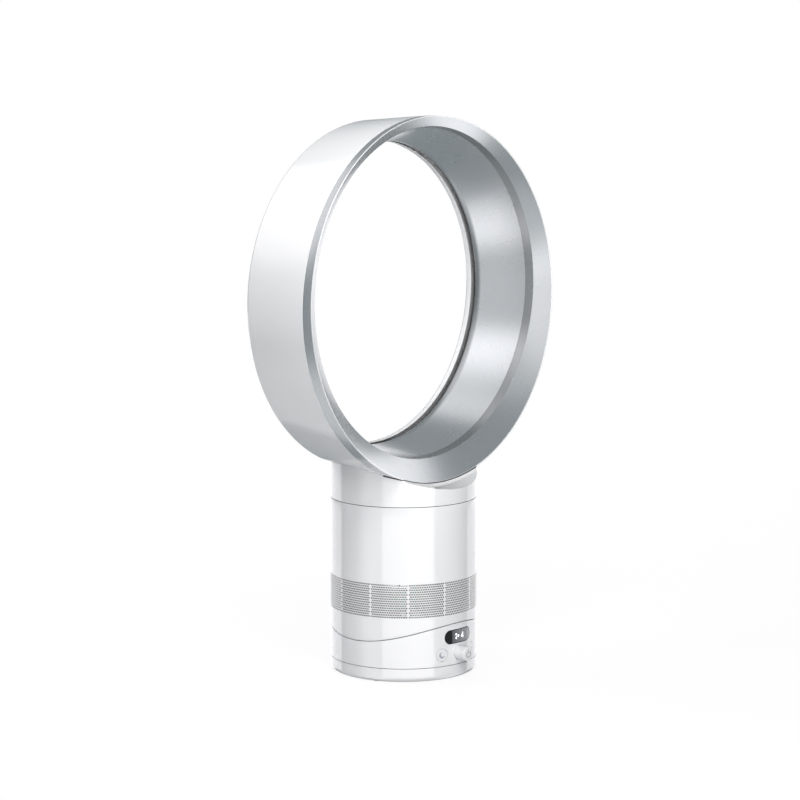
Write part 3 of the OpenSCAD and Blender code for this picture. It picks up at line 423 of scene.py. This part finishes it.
def brushed(name, low, high, roughness, stretch):
    """Metal with fine drawn lines along one axis."""
    material, shader = finish(name, low, Metallic=1)
    links = material.node_tree.links
    lines = noise(material, 900, 4, stretch)
    links.new(ramp(material, lines, low, high), shader.inputs["Base Color"])
    links.new(ramp(material, lines, roughness * 0.7, roughness * 1.3), shader.inputs["Roughness"])
    bump(material, shader, lines, 0.01 * MM)
    return material


def gloss_white(name, radius=0):
    """High gloss white plastic of the housings. Inside a radius about the Z axis it is painted near black, a
    painted shade that makes the intake holes look dark."""
    low, high = (0.83, 0.83, 0.84), (0.85, 0.85, 0.856)
    material = moulded(name, low, high, 0.2, 700, 0.0006 * MM, Specular_IOR_Level=0.5, Coat_Weight=1.0,
                       Coat_Roughness=0.03, Coat_IOR=1.8)
    if radius:
        nodes, links = material.node_tree.nodes, material.node_tree.links
        x, y, _ = split(nodes, links, coordinates(nodes))
        unshaded = spread(nodes, links, length(nodes, links, x, y), radius - HOLE_SHADE_FADE, radius)
        # Painted shade: deeper in the wall the white turns near black
        tone = ramp(material, unshaded, (0.03, 0.03, 0.03), low)
        links.new(tone, nodes["Principled BSDF"].inputs["Base Color"])
    return material


def satin_silver(name, start=0, end=1, share=1):
    """Silver paint: fine flakes that vary in tone and gloss, under a thin clear coat. Along Y, from start to
    end, painted shade darkens its tone to a share of itself. A share of 1 keeps it even."""
    low, high = (0.575, 0.59, 0.602), (0.605, 0.618, 0.63)
    material, shader = finish(name, low, Metallic=0.92, Coat_Weight=0.2, Coat_Roughness=0.1)
    nodes, links = material.node_tree.nodes, material.node_tree.links
    flakes = noise(material, 4200, 1)
    _, y, _ = split(nodes, links, coordinates(nodes))
    # Painted shade: the tone darkens along Y
    painted_shade = spread(nodes, links, y, start, end, 1, share)
    tone = scaled(nodes, links, ramp(material, flakes, low, high), painted_shade)
    links.new(tone, shader.inputs["Base Color"])
    links.new(ramp(material, noise(material, 30, 3), 0.24, 0.3), shader.inputs["Roughness"])
    bump(material, shader, flakes, 0.00002 * MM)
    return material


def display_glass():
    """Smoked window: black at its left end and along its edge, and a field between them that is dim at its
    left and paler to the right, a painted glow of the backlit area in the base colour. The field ends where
    the distance from the window's middle line, whose ends are those of its two half rounds, comes within a
    border of the window's edge."""
    material, shader = finish("display_glass", (0.006, 0.006, 0.007), Roughness=0.06, Coat_Weight=0.3)
    nodes, links = material.node_tree.nodes, material.node_tree.links
    x, _, z = split(nodes, links, coordinates(nodes))
    half = (WINDOW_HIGH.z - WINDOW_LOW.z) / 2
    from_middle = calculate(nodes, links, "ABSOLUTE", x)
    from_end = calculate(nodes, links, "SUBTRACT", from_middle, WINDOW_HIGH.x - half)
    past_end = calculate(nodes, links, "MAXIMUM", from_end, 0)
    away = length(nodes, links, past_end, calculate(nodes, links, "SUBTRACT", z, WINDOW_Z))
    border = half - FIELD_BORDER
    within = spread(nodes, links, away, border + FIELD_BORDER_FADE, border - FIELD_BORDER_FADE)
    right_of = spread(nodes, links, x, FIELD_LEFT - FIELD_SIDE_FADE, FIELD_LEFT + FIELD_SIDE_FADE)
    across = spread(nodes, links, x, FIELD_LEFT, FIELD_RIGHT)
    # Painted glow of the backlit field, dim at the left and paler to the right
    pale = ramp(material, across, (0.1, 0.1, 0.112), (0.42, 0.42, 0.44))
    lit = calculate(nodes, links, "MAXIMUM", calculate(nodes, links, "MULTIPLY", within, right_of), 0.03)
    links.new(scaled(nodes, links, pale, lit), shader.inputs["Base Color"])
    return material


def circuit_green():
    """Circuit board: green lacquer with paler tracks in a square pattern."""
    material, shader = finish("circuit_board", (0.03, 0.18, 0.09), Coat_Weight=0.4)
    nodes, links = material.node_tree.nodes, material.node_tree.links
    tracks = nodes.new("ShaderNodeTexBrick")
    tracks.inputs["Scale"].default_value = 120
    tracks.inputs["Mortar Size"].default_value = 0.08
    tracks.inputs["Color1"].default_value = (0.02, 0.15, 0.07, 1)
    tracks.inputs["Color2"].default_value = (0.03, 0.19, 0.09, 1)
    tracks.inputs["Mortar"].default_value = (0.09, 0.3, 0.16, 1)
    links.new(coordinates(nodes), tracks.inputs["Vector"])
    links.new(tracks.outputs["Color"], shader.inputs["Base Color"])
    links.new(ramp(material, noise(material, 60), 0.3, 0.5), shader.inputs["Roughness"])
    return material


FINISHES = {
    "white_gloss": gloss_white("white_gloss"),
    "silver_satin": satin_silver("silver_satin"),
    "black_gloss": display_glass(),
    "rubber": moulded("rubber", (0.025, 0.025, 0.027), (0.04, 0.04, 0.042), 0.75, 1600, 0.02 * MM),
    "steel": brushed("steel", (0.5, 0.5, 0.52), (0.68, 0.68, 0.7), 0.3, (1, 1, 0.05)),
    "iron": moulded("iron", (0.14, 0.14, 0.15), (0.24, 0.24, 0.25), 0.55, 900, 0.05 * MM, Metallic=0.8),
    "brass": brushed("brass", (0.6, 0.45, 0.18), (0.76, 0.6, 0.3), 0.28, (1, 1, 0.05)),
    "acetal": moulded("acetal", (0.8, 0.78, 0.73), (0.86, 0.84, 0.8), 0.42, 900, 0.006 * MM),
    "grey_plastic": moulded("grey_plastic", (0.19, 0.2, 0.21), (0.25, 0.26, 0.27), 0.5, 1100, 0.012 * MM),
    "dark_plastic": moulded("dark_plastic", (0.02, 0.02, 0.02), (0.045, 0.045, 0.045), 0.5, 1100, 0.012 * MM),
    "circuit_board": circuit_green(),
}
# White with painted shade inside the intake holes
GRILLE_WHITE_HOLE_SHADE = gloss_white("grille_white_hole_shade", BODY_R - HOLE_SHADE_DEPTH)
# Silvers with painted shade: on the step behind the front's face, and on the inside towards the nose
SILVER_FRONT = satin_silver("silver_front", *STEP_SHADE)
SILVER_INSIDE = satin_silver("silver_inside", *NOSE_SHADE)
# Glossy rim whose rounded edge catches real highlights, and whose near-white colour is a painted highlight
RIM_HIGHLIGHT = moulded("highlight_rim", (0.9, 0.905, 0.91), (0.93, 0.93, 0.935), 0.22, 900, 0.0004 * MM,
                   Metallic=0.3, Coat_Weight=0.6, Coat_Roughness=0.03)
PRINT_GREY = moulded("print_grey", (0.2, 0.205, 0.225), (0.24, 0.245, 0.265), 0.45, 900, 0.002 * MM)
PRINT_PALE = moulded("print_pale", (0.36, 0.36, 0.42), (0.4, 0.4, 0.46), 0.45, 900, 0.002 * MM)


def dress_frame():
    """Gives every CAD node the finish of its material slot in the record."""
    for part in frame["record"]["subparts"]:
        mesh = frame["nodes"][part["node"]].data
        mesh.materials.clear()
        mesh.materials.append(FINISHES[part["material_slot"]])


def perforated_shell():
    """Body shell with its intake holes. Curves run round the barrel on the edges of the hole rows, and the
    lower edge follows the tilt seam, z = tilt axis - sqrt(seam radius squared - y squared). A hole's cell is
    one pitch wide and one row high, and every second row is moved by half a pitch. In the list of a cell's
    triangles, 0 to 5 are its corners, anticlockwise from the lower left, and H0 to H7 those of its hole."""
    lines = 2 * LONG_ROW + 1
    panel = (np.arange(lines) - LONG_ROW) * HOLE_PITCH / 2
    angle = (np.arange(PANELS)[:, None] * 2 * np.pi / PANELS + panel).ravel()
    cols = len(angle)
    inner_r = BODY_R - WALL

    def curve(radius, height):
        return np.stack([radius * np.sin(angle), -radius * np.cos(angle), height + 0 * angle], -1)

    def seam(radius):
        return TILT_Z - np.sqrt(TILT_R ** 2 - (radius * np.cos(angle)) ** 2)

    row_edges = GRILLE_LOW + (np.arange(GRILLE_ROWS + 1) - 0.5) * ROW_PITCH
    outer = [curve(BODY_R, seam(BODY_R))]
    outer += [curve(BODY_R, seam(BODY_R) * (1 - s) + row_edges[0] * s) for s in (0.2, 0.5, 0.8)]
    band_start = len(outer)
    outer += [curve(BODY_R, z) for z in row_edges]
    outer += [curve(BODY_R, z) for z in np.linspace(row_edges[-1], BODY_TOP, 8)[1:]]
    inner = [curve(inner_r, BODY_TOP)] + [curve(inner_r, z) for z in row_edges[::-1]]
    inner += [curve(inner_r, seam(inner_r))]
    reach = np.zeros(len(outer) + len(inner))
    reach[[0, len(outer) - 1]] = EDGE_BEAD
    bead_steps = 4
    curves = soften(np.array(outer + inner), reach, bead_steps)
    outer_band = band_start + bead_steps
    inner_band = len(outer) + 2 * bead_steps + 1

    quads = stack_quads(len(curves), cols).reshape(len(curves), cols, 4)
    plain = np.ones((len(curves), cols), bool)
    in_panel = np.arange(cols) % lines
    rows = np.arange(GRILLE_ROWS)
    for row in rows:
        odd = row % 2
        holed = (in_panel >= odd) & (in_panel < lines - 1 - odd)
        plain[outer_band + row, holed] = False
        plain[inner_band + GRILLE_ROWS - 1 - row, holed] = False
    faces = [quads[plain]]

    row, hole = np.meshgrid(rows, np.arange(LONG_ROW), indexing="ij")
    kept = (row % 2 == 0) | (hole < LONG_ROW - 1)
    row, hole = row[kept], hole[kept]
    left = 2 * hole + row % 2
    row = np.tile(row, PANELS)
    left = (np.arange(PANELS)[:, None] * lines + left).ravel()
    around = turns(HOLE_SIDES) + HOLE_TURN
    hole_a = angle[left + 1][:, None] + HOLE_R * np.cos(around) / BODY_R
    hole_z = (GRILLE_LOW + row * ROW_PITCH)[:, None] + HOLE_R * np.sin(around)
    points = [curves.reshape(-1, 3)]
    rings = []
    for radius in (BODY_R, inner_r):
        rings.append(sum(len(p) for p in points) + np.arange(hole_a.size).reshape(hole_a.shape))
        ring = np.stack([radius * np.sin(hole_a), -radius * np.cos(hole_a), hole_z], -1)
        points.append(ring.reshape(-1, 3))
    cell = [(1, "H1", "H0"), (1, 2, "H1"), (2, "H2", "H1"), (2, 3, "H2"), (3, "H3", "H2"), (3, 4, "H4"),
            (3, "H4", "H3"), (4, "H5", "H4"), (4, 5, "H5"), (5, "H6", "H5"), (5, 0, "H6"), (0, "H7", "H6"),
            (0, 1, "H0"), (0, "H0", "H7")]
    low_outer, high_outer = outer_band + row, outer_band + row + 1
    low_inner = inner_band + GRILLE_ROWS - row
    sides = (rings[0], low_outer, high_outer, 1), (rings[1], low_inner, low_inner - 1, -1)
    for ring, low, high, flip in sides:
        corners = np.stack([low * cols + left, low * cols + left + 1, low * cols + left + 2,
                            high * cols + left + 2, high * cols + left + 1, high * cols + left], -1)
        pick = [[ring[:, int(k[1])] if isinstance(k, str) else corners[:, k] for k in tri] for tri in cell]
        faces.append(np.stack([np.stack(tri, -1) for tri in pick], 1).reshape(-1, 3)[:, ::flip])
    on = np.roll(rings[0], -1, 1), np.roll(rings[1], -1, 1)
    faces.append(np.stack([rings[0], on[0], on[1], rings[1]], -1).reshape(-1, 4))
    piece = make_piece("perforated_shell", np.concatenate(points), faces, GRILLE_WHITE_HOLE_SHADE, "body")
    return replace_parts(piece, "body_shell")


def loop_outer_shell():
    """White shell of the loop. Its profile runs along the tapered outside, round the rear edge, across the
    flat rear to the lip of the throat, and back along the inside of the wall. The outside turns about the
    loop's axis and the lip about the rear axis, so the flat rear is wider below than above."""
    rear_r = LOOP_R - SHELL_TAPER
    rear_y = LOOP_BACK - REAR_ROUND
    outer_bend, lip_bend = (rear_r - REAR_ROUND, rear_y), (THROAT_R + REAR_ROUND, rear_y)
    stations = [(LOOP_R, -LOOP_FRONT, LOOP_Z)]
    stations += arc(outer_bend, REAR_ROUND, 0, 90, LOOP_Z, 10)
    stations += arc(lip_bend, REAR_ROUND, 90, 180, REAR_Z, 10)
    lip = len(stations)
    stations += [(THROAT_R, LIP_Y, REAR_Z), (THROAT_R + LIP_T, LIP_Y, REAR_Z)]
    stations += arc(lip_bend, REAR_ROUND - LIP_T, 180, 90, REAR_Z)
    stations += arc(outer_bend, REAR_ROUND - SHELL_WALL, 90, 0, LOOP_Z)
    stations += [(LOOP_R - SHELL_WALL, -LOOP_FRONT, LOOP_Z)]
    reach = np.zeros(len(stations))
    reach[0] = SHELL_BEAD
    reach[[lip, lip + 1]] = LIP_BEAD
    curves = soften(about_y(stations), reach)
    piece = ring_piece("loop_outer_shell", curves, FINISHES["white_gloss"], "loop")
    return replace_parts(piece, "loop_shell")


def air_diffuser():
    """Silver inside of the loop: a shallow cone from the front axis that ends in a nose about the rear axis.
    The nose's profile is a large round, which curves away into the air slot."""
    front = -STEP_Y + STEP_GAP
    nose = (DIFFUSER_R + NOSE_R, NOSE_Y)
    stations = [(FLANGE_R, front, THROAT_Z), (STEP_R, front, THROAT_Z)]
    stations += arc(nose, NOSE_R, NOSE_START, NOSE_END, REAR_Z, 24)
    stations += arc(nose, NOSE_R - TRIM_T, NOSE_END, NOSE_START, REAR_Z, 16)
    stations += [(STEP_R + TRIM_T, front + TRIM_T, THROAT_Z), (FLANGE_R, front + TRIM_T, THROAT_Z)]
    # The inside's silver darkens towards the nose as painted shade
    piece = ring_piece("air_diffuser", about_y(stations), SILVER_INSIDE, "loop")
    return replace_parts(piece, "diffuser")


def slot_webs():
    """Small webs that stand on the lip inside the air slot: blocks about the rear axis."""
    root = THROAT_R + LIP_T
    start = LIP_Y + WEB_INSET
    r, y, w = np.meshgrid([root - WEB_SINK, root + WEB_H], [start, start + WEB_L], [-WEB_W / 2, WEB_W / 2],
                          indexing="ij")
    r, y, w = r.ravel(), y.ravel(), w.ravel()
    t = turns(WEBS)[:, None]
    x, z = r * np.sin(t) + w * np.cos(t), REAR_Z + r * np.cos(t) - w * np.sin(t)
    points = np.stack([x, y + 0 * x, z], -1).reshape(-1, 3)
    block = np.array([(0, 1, 3, 2), (4, 6, 7, 5), (0, 4, 5, 1), (2, 3, 7, 6), (0, 2, 6, 4), (1, 5, 7, 3)])
    faces = (block + 8 * np.arange(WEBS)[:, None, None]).reshape(-1, 4)
    piece = make_piece("slot_webs", points, [faces], FINISHES["grey_plastic"], "loop")
    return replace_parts(piece, "slot_spacers")


def silver_front():
    """Silver front of the loop: an outer band about the loop's axis, a dished face and a short step about
    the throat's axis. The band meets the face where y = -(face + slope (distance from the throat axis - face
    radius)), so the band is deeper below than above. The corner between them is a glossy rim whose near-white
    colour is a painted highlight: a ring that runs as far along the band as along the face, with its edge
    rounded."""
    t = turns(LOOP_STEPS)
    band_x, band_z = LOOP_R * np.sin(t), LOOP_Z + LOOP_R * np.cos(t)
    from_throat = np.hypot(band_x, band_z - THROAT_Z)
    edge_y = -(FACE_Y + FACE_SLOPE * (from_throat - FACE_R))
    edge = np.stack([band_x, edge_y, band_z], -1)
    behind = -LOOP_FRONT
    tongue_r = LOOP_R - SHELL_WALL - TONGUE_GAP
    flat = [
        (tongue_r - TRIM_T, behind + TONGUE_L, LOOP_Z), (tongue_r, behind + TONGUE_L, LOOP_Z),
        (tongue_r, behind, LOOP_Z), (LOOP_R, behind, LOOP_Z),
    ]
    inside = [
        (FACE_R, -FACE_Y, THROAT_Z), (STEP_R, -STEP_Y, THROAT_Z), (STEP_R + TRIM_T, -STEP_Y, THROAT_Z),
        (FACE_R + TRIM_T, -FACE_Y + TRIM_T, THROAT_Z),
    ]
    centre = np.array([0, 0, LOOP_Z])
    shrink = (LOOP_R - TRIM_T) / LOOP_R
    edge_inside = centre + (edge - centre) * np.array([shrink, 1, shrink]) + [0, TRIM_T, 0]
    curves = np.concatenate([about_y(flat), edge[None], about_y(inside), edge_inside[None]])
    reach = np.zeros(len(curves))
    reach[3:6] = BAND_BEAD, RIM_W * RIM_CUT_SHARE, FACE_BEAD
    piece = ring_piece("silver_front", soften(curves, reach, 6), SILVER_FRONT, "loop")
    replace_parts(piece, "front_trim")

    from_axis = edge - np.array([0, 0, THROAT_Z])
    inwards = -unit(from_axis * [1, 0, 1]) + np.array([0, FACE_SLOPE, 0])
    to_centre = unit((centre - edge) * [1, 0, 1])
    rim = np.stack([edge + [0, RIM_W, 0], edge, edge + RIM_W * unit(inwards),
                    edge + RIM_W * (to_centre + [0, RIM_DEPTH_SHARE, 0])])
    rim = soften(rim, np.array([0, RIM_ROUND, 0, 0]), 6)
    # Near-white rim along the corner: a painted highlight
    ring_piece("highlight_rim", rim, RIM_HIGHLIGHT, "loop")


def collar_gap_shadow():
    """Dark strip between the loop and the collar, a painted shadow of the gap there. Its path follows the
    loop's underside, x = radius sin t: in the middle along the rim, and towards its ends a little lower, on
    the collar's round face, where y = -sqrt(body radius squared - x squared)."""
    t = np.linspace(-GAP_SHADOW_A, GAP_SHADOW_A, GAP_SHADOW_STEPS)[:, None]
    x, drop = LOOP_R * np.sin(t), LOOP_R * np.cos(t)
    rim = -(FACE_Y + FACE_SLOPE * (np.hypot(x, drop + THROAT_Z - LOOP_Z) - FACE_R))
    y = np.maximum(rim, -np.sqrt(BODY_R ** 2 - x ** 2))
    lowered = np.clip((y - rim) / GAP_SHADOW_EASE, 0, 1) * GAP_SHADOW_DROP
    r = LOOP_R + GAP_SHADOW_PROUD + lowered + np.array([-GAP_SHADOW_W, 0, 0, -GAP_SHADOW_W])
    across = np.array([-GAP_SHADOW_FRONT, -GAP_SHADOW_FRONT, GAP_SHADOW_BACK, GAP_SHADOW_BACK])
    curves = np.stack([r * np.sin(t), y + across, LOOP_Z - r * np.cos(t)], -1)
    # The dark rubber finish stands in for the gap's shadow: a painted shadow
    return capped_piece("collar_gap_shadow", curves, FINISHES["rubber"], "loop")


def press_knob():
    """Knob: a profile turned about the knob's axis, a cylinder with a rounded edge and a flat end face."""
    root = KNOB_HIGH.y
    tip = KNOB_LOW.y
    edge = 1.0 * MM
    stations = [(0.3 * KNOB_R, root, KNOB_Z), (KNOB_R, root, KNOB_Z)]
    stations += arc((KNOB_R - edge, tip + edge), edge, 0, -90, KNOB_Z)
    stations += [(r * KNOB_R, tip, KNOB_Z) for r in (0.75, 0.5, 0.25)]
    piece = capped_piece("press_knob", about_y(stations, 96), FINISHES["white_gloss"], "dial")
    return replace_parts(piece, "dial_knob")


def strip(points, width):
    """Grid of a stroke of even width along a line of flat points."""
    points = np.asarray(points, float)
    along = unit(np.gradient(points, axis=0))
    side = np.stack([-along[:, 1], along[:, 0]], -1) * width / 2
    return np.stack([points + side, points - side], 1)


def bow(centre, radius, start, end, steps=32):
    """Flat points on a circle from one angle to another, in degrees."""
    a = np.radians(np.linspace(start, end, steps + 1))
    return np.stack([centre[0] + radius * np.cos(a), centre[1] + radius * np.sin(a)], -1)


def crescent(radius, shift, cut_r, turn):
    """Grid between the outer and the inner edge of a crescent: an arc of one circle and an arc of another
    whose centre is moved sideways. Both start and end at the circles' crossings."""
    cross = math.acos((radius ** 2 + shift ** 2 - cut_r ** 2) / (2 * radius * shift))
    cut = math.acos((cut_r ** 2 + shift ** 2 - radius ** 2) / (2 * cut_r * shift))
    s = np.linspace(0.02, 0.98, 33)
    outer_a = cross + s * (2 * np.pi - 2 * cross)
    inner_a = np.pi - cut + s * 2 * cut
    outer = radius * np.stack([np.cos(outer_a), np.sin(outer_a)], -1)
    inner = cut_r * np.stack([np.cos(inner_a), np.sin(inner_a)], -1) + [shift, 0]
    c, n = math.cos(turn), math.sin(turn)
    return np.stack([outer, inner], 1) @ np.array([[c, n], [-n, c]])


def power_mark():
    """Power symbol on the knob: an open circle and a bar."""
    ring = strip(bow((0, -0.3 * MM), 2.9 * MM, 128, 412), 0.75 * MM)
    bar = strip([(0, 0.3 * MM), (0, 2.1 * MM), (0, 3.9 * MM)], 0.75 * MM)
    return inlay("power_mark", [ring, bar], on_knob, PRINT_GREY, "dial")


def moon_mark():
    """Crescent moon on the left button."""
    moon = crescent(3.3 * MM, 1.7 * MM, 2.6 * MM, math.radians(40))
    place = on_barrel(-BUTTON_A, KNOB_Z, BUTTON_FACE_R)
    return inlay("moon_mark", [moon], place, PRINT_PALE, "night_key")


def swing_mark():
    """Two-way arrow on the right button, for the oscillation."""
    sweep = strip(bow((0, -2.2 * MM), 3.4 * MM, 40, 140, 20), 0.45 * MM)
    heads = []
    for side in (-1, 1):
        tip = np.array([side * 3.3 * MM, -0.9 * MM])
        wing = np.array([[-0.9 * side, 1.3], [0, 0], [-1.5 * side, 0.1]]) * MM
        heads.append(strip(tip + wing[[0, 1]], 0.45 * MM))
        heads.append(strip(tip + wing[[1, 2]], 0.45 * MM))
    place = on_barrel(BUTTON_A, KNOB_Z, BUTTON_FACE_R)
    return inlay("swing_mark", [sweep] + heads, place, PRINT_GREY, "swing_key")


def lit_figures():
    """Figures of the display: a fan with three blades and the speed number. A blade's edges lie at equal
    angles to each side of its bent middle line: 10 + 24 sin(pi s to the power 1.3) degrees, s from 0 to 1."""
    material, shader = finish("lit_white", (0.85, 0.87, 0.9), Roughness=0.4)
    glow = ramp(material, noise(material, 400, 1), (0.8, 0.82, 0.85), (1, 1, 1))
    material.node_tree.links.new(glow, shader.inputs["Emission Color"])
    shader.inputs["Emission Strength"].default_value = 0.85
    blades = []
    for turn in (-20, 100, 220):
        s = np.linspace(0, 1, 13)
        half_a = np.radians(10 + 24 * np.sin(np.pi * s ** 1.3))
        r = (0.3 + 2.9 * s) * MM
        a = np.radians(turn) + 0.5 * s
        edges = [np.stack([r * np.cos(a + k * half_a), r * np.sin(a + k * half_a)], -1) for k in (1, -1)]
        blades.append(np.stack(edges, 1) + np.array([-3 * MM, 0]))
    w = 0.85 * MM
    four = [
        strip([(6.2 * MM, -3 * MM), (6.2 * MM, 0), (6.2 * MM, 3 * MM)], w),
        strip([(6 * MM, 2.9 * MM), (4.7 * MM, 0.9 * MM), (3.4 * MM, -1.1 * MM)], w),
        strip([(3.2 * MM, -1.3 * MM), (5.2 * MM, -1.3 * MM), (7.3 * MM, -1.3 * MM)], w),
    ]
    place = on_barrel(0, WINDOW_Z, WINDOW_FACE_R)
    return inlay("lit_figures", blades + four, place, material, "base")


# Floor: half its side, the distances between which its glow takes over, in metres, and the glow's share
# nearer than that
FLOOR_HALF = 12
FLOOR_NEAR = 0.3
FLOOR_FAR = 1.5
FLOOR_GLOW = 0.9


def studio_floor():
    """Pale floor: white where the camera sees it, with a soft part of the object's shadow left in near it."""
    corners = ((-1, -1), (1, -1), (1, 1), (-1, 1))
    mesh = bpy.data.meshes.new("studio_floor")
    mesh.from_pydata([(FLOOR_HALF * x, FLOOR_HALF * y, 0) for x, y in corners], [], [(0, 1, 2, 3)])
    material = bpy.data.materials.new("studio_floor")
    material.use_nodes = True
    nodes, links = material.node_tree.nodes, material.node_tree.links
    nodes.remove(nodes["Principled BSDF"])
    matt = nodes.new("ShaderNodeBsdfDiffuse")
    matt.inputs["Color"].default_value = (0.5, 0.5, 0.51, 1)
    lit = nodes.new("ShaderNodeBsdfDiffuse")
    lit.inputs["Color"].default_value = (0.95, 0.95, 0.95, 1)
    glow = nodes.new("ShaderNodeEmission")
    away = length(nodes, links, *split(nodes, links, coordinates(nodes)))
    far_off = spread(nodes, links, away, FLOOR_NEAR, FLOOR_FAR, FLOOR_GLOW, 1)
    rays = nodes.new("ShaderNodeLightPath").outputs
    seen = calculate(nodes, links, "MAXIMUM", rays["Is Camera Ray"], rays["Is Transmission Ray"])
    pale = blended(nodes, links, far_off, lit.outputs["BSDF"], glow.outputs["Emission"])
    surface = blended(nodes, links, seen, matt.outputs["BSDF"], pale)
    links.new(surface, nodes["Material Output"].inputs["Surface"])
    mesh.materials.append(material)
    floor = bpy.data.objects.new("studio_floor", mesh)
    bpy.context.scene.collection.objects.link(floor)
    floor.visible_glossy = False


# What gloss and metal mirror: a room of even brightness with white panels. Each panel has its azimuth from
# the camera's side, left and right, its elevation, low and high, and half the width of the soft edge of each
# pair, all in degrees, and then the brightness that it adds, where 1 is white
ROOM = 0.35
ROOM_PANELS = [
    (-33, 49, -18, -8, 0.7, 2, 0.8),
    (-33, 49, -45, 60, 1, 12, 0.34),
    (10, 49, -8, 22, 5, 8, 0.5),
    (-66, -33, -75, 75, 5, 10, 0.31),
    (-75, -45, -20, 18, 6, 8, 0.22),
    (-80, -30, 25, 68, 8, 10, 1.4),
    (-80, -30, -62, -28, 8, 10, 1.1),
    (112, 152, 2, 36, 5, 8, 1.15),
    (85, 128, -62, -30, 8, 8, 1.25),
    (-140, -88, 14, 52, 6, 8, 0.75),
    (-140, -88, -60, -28, 6, 8, 0.5),
    (-150, -60, 60, 91, 12, 10, 1.0),
    (120, 180, -20, -7, 1.5, 2, 0.85),
    (-180, -115, -20, -7, 1.5, 2, 1.0),
    (134, 180, -8, 16, 4, 4, 0.8),
]

# Even light that every matt surface gets
AMBIENT = 0.02

# Softboxes that light the object: azimuth from the camera's side in degrees, height, distance, width and
# tallness in metres, and brightness. All are aimed at the middle of the loop
SOFTBOXES = [
    (0, 1.2, 0.7, 0.4, 0.4, 13.0),
    (15, 0.2, 1.3, 0.6, 0.5, 8.1),
    (15, 0.9, 1.3, 0.6, 0.5, 6.8),
    (-90, 1.4, 1.3, 0.6, 0.5, 6.8),
    (-115, 0.8, 1.3, 0.6, 0.5, 5.0),
    (0, 1.8, 0.1, 0.8, 0.8, 2.0),
    (180, 0.9, 1.3, 0.9, 0.9, 5.0),
]


def studio_light():
    """World and lamps. The world is white where the camera sees it, a dim even light for matt surfaces, and
    for gloss and metal a cool room whose panels are products of smooth steps in azimuth and elevation."""
    world = bpy.data.worlds.new("studio")
    bpy.context.scene.world = world
    world.use_nodes = True
    world.cycles.sampling_method = "NONE"
    nodes, links = world.node_tree.nodes, world.node_tree.links

    def value(operation, *inputs):
        return calculate(nodes, links, operation, *inputs)

    def along(direction):
        node = nodes.new("ShaderNodeVectorMath")
        node.operation = "DOT_PRODUCT"
        links.new(view, node.inputs[0])
        node.inputs[1].default_value = direction
        return node.outputs["Value"]

    def step(source, start, end):
        return spread(nodes, links, source, start, end, kind="SMOOTHSTEP")

    view = coordinates(nodes, "Generated")
    c, s = math.cos(CAMERA_A), math.sin(CAMERA_A)
    azimuth = value("ARCTAN2", along((c, s, 0)), along((s, -c, 0)))
    elevation = value("ARCSINE", along((0, 0, 1)))
    total = ROOM
    for left, right, low, high, side, end, bright in ROOM_PANELS:
        a = [math.radians(k) for k in (left - side, left + side, right - side, right + side)]
        e = [math.radians(k) for k in (low - end, low + end, high - end, high + end)]
        from_left = 1 if left == -180 else step(azimuth, a[0], a[1])
        past_right = 0 if right == 180 else step(azimuth, a[2], a[3])
        past_high = 0 if high > 90 else step(elevation, e[2], e[3])
        across = value("SUBTRACT", from_left, past_right)
        up = value("SUBTRACT", step(elevation, e[0], e[1]), past_high)
        total = value("MULTIPLY_ADD", value("MULTIPLY", across, up), bright, total)
    rays = nodes.new("ShaderNodeLightPath").outputs
    mirrored = value("MULTIPLY", rays["Is Glossy Ray"], value("SUBTRACT", total, AMBIENT))
    whiteness = value("MULTIPLY", value("MINIMUM", total, 1), rays["Is Glossy Ray"])
    light = nodes["Background"]
    links.new(ramp(world, whiteness, (0.84, 0.99, 1.05), (1, 1, 1.02)), light.inputs["Color"])
    links.new(value("ADD", mirrored, AMBIENT), light.inputs["Strength"])
    white = nodes.new("ShaderNodeBackground")
    white.inputs["Color"].default_value = (1, 1, 1, 1)
    seen = value("MAXIMUM", rays["Is Camera Ray"], rays["Is Transmission Ray"])
    sky = blended(nodes, links, seen, light.outputs["Background"], white.outputs["Background"])
    links.new(sky, nodes["World Output"].inputs["Surface"])

    middle = Vector((0, 0, LOOP_Z))
    for turn, height, away, wide, tall, bright in SOFTBOXES:
        lamp = bpy.data.lights.new("softbox", "AREA")
        lamp.shape = "RECTANGLE"
        lamp.size, lamp.size_y = wide, tall
        lamp.energy = bright * wide * tall * math.pi
        softbox = bpy.data.objects.new("softbox", lamp)
        bpy.context.scene.collection.objects.link(softbox)
        a = CAMERA_A + math.radians(turn)
        softbox.location = (away * math.sin(a), -away * math.cos(a), height)
        softbox.rotation_mode = "QUATERNION"
        softbox.rotation_quaternion = (middle - softbox.location).to_track_quat("-Z", "Y")
        softbox.visible_glossy = False


def photo_camera():
    """Camera at the photograph's place. The picture's centre of view gives the small shift."""
    back = Vector((math.sin(CAMERA_A) * math.cos(CAMERA_E), -math.cos(CAMERA_A) * math.cos(CAMERA_E),
                   math.sin(CAMERA_E)))
    camera = bpy.data.objects.new("camera", bpy.data.cameras.new("camera"))
    bpy.context.scene.collection.objects.link(camera)
    camera.location = Vector((0, 0, CAMERA_TARGET_Z)) + back * CAMERA_FAR
    camera.rotation_mode = "QUATERNION"
    camera.rotation_quaternion = (-back).to_track_quat("-Z", "Y")
    camera.data.sensor_width = SENSOR
    camera.data.lens = SENSOR * FOCAL_PX / PICTURE
    camera.data.shift_x = (PICTURE / 2 - CENTRE_PX[0]) / PICTURE
    camera.data.shift_y = (CENTRE_PX[1] - PICTURE / 2) / PICTURE
    camera.data.clip_end = 100
    bpy.context.scene.camera = camera


photo_camera()
dress_frame()
perforated_shell()
loop_outer_shell()
air_diffuser()
slot_webs()
silver_front()
collar_gap_shadow()
press_knob()
power_mark()
moon_mark()
swing_mark()
lit_figures()
studio_floor()
studio_light()
bpy.context.scene.view_settings.view_transform = "Standard"
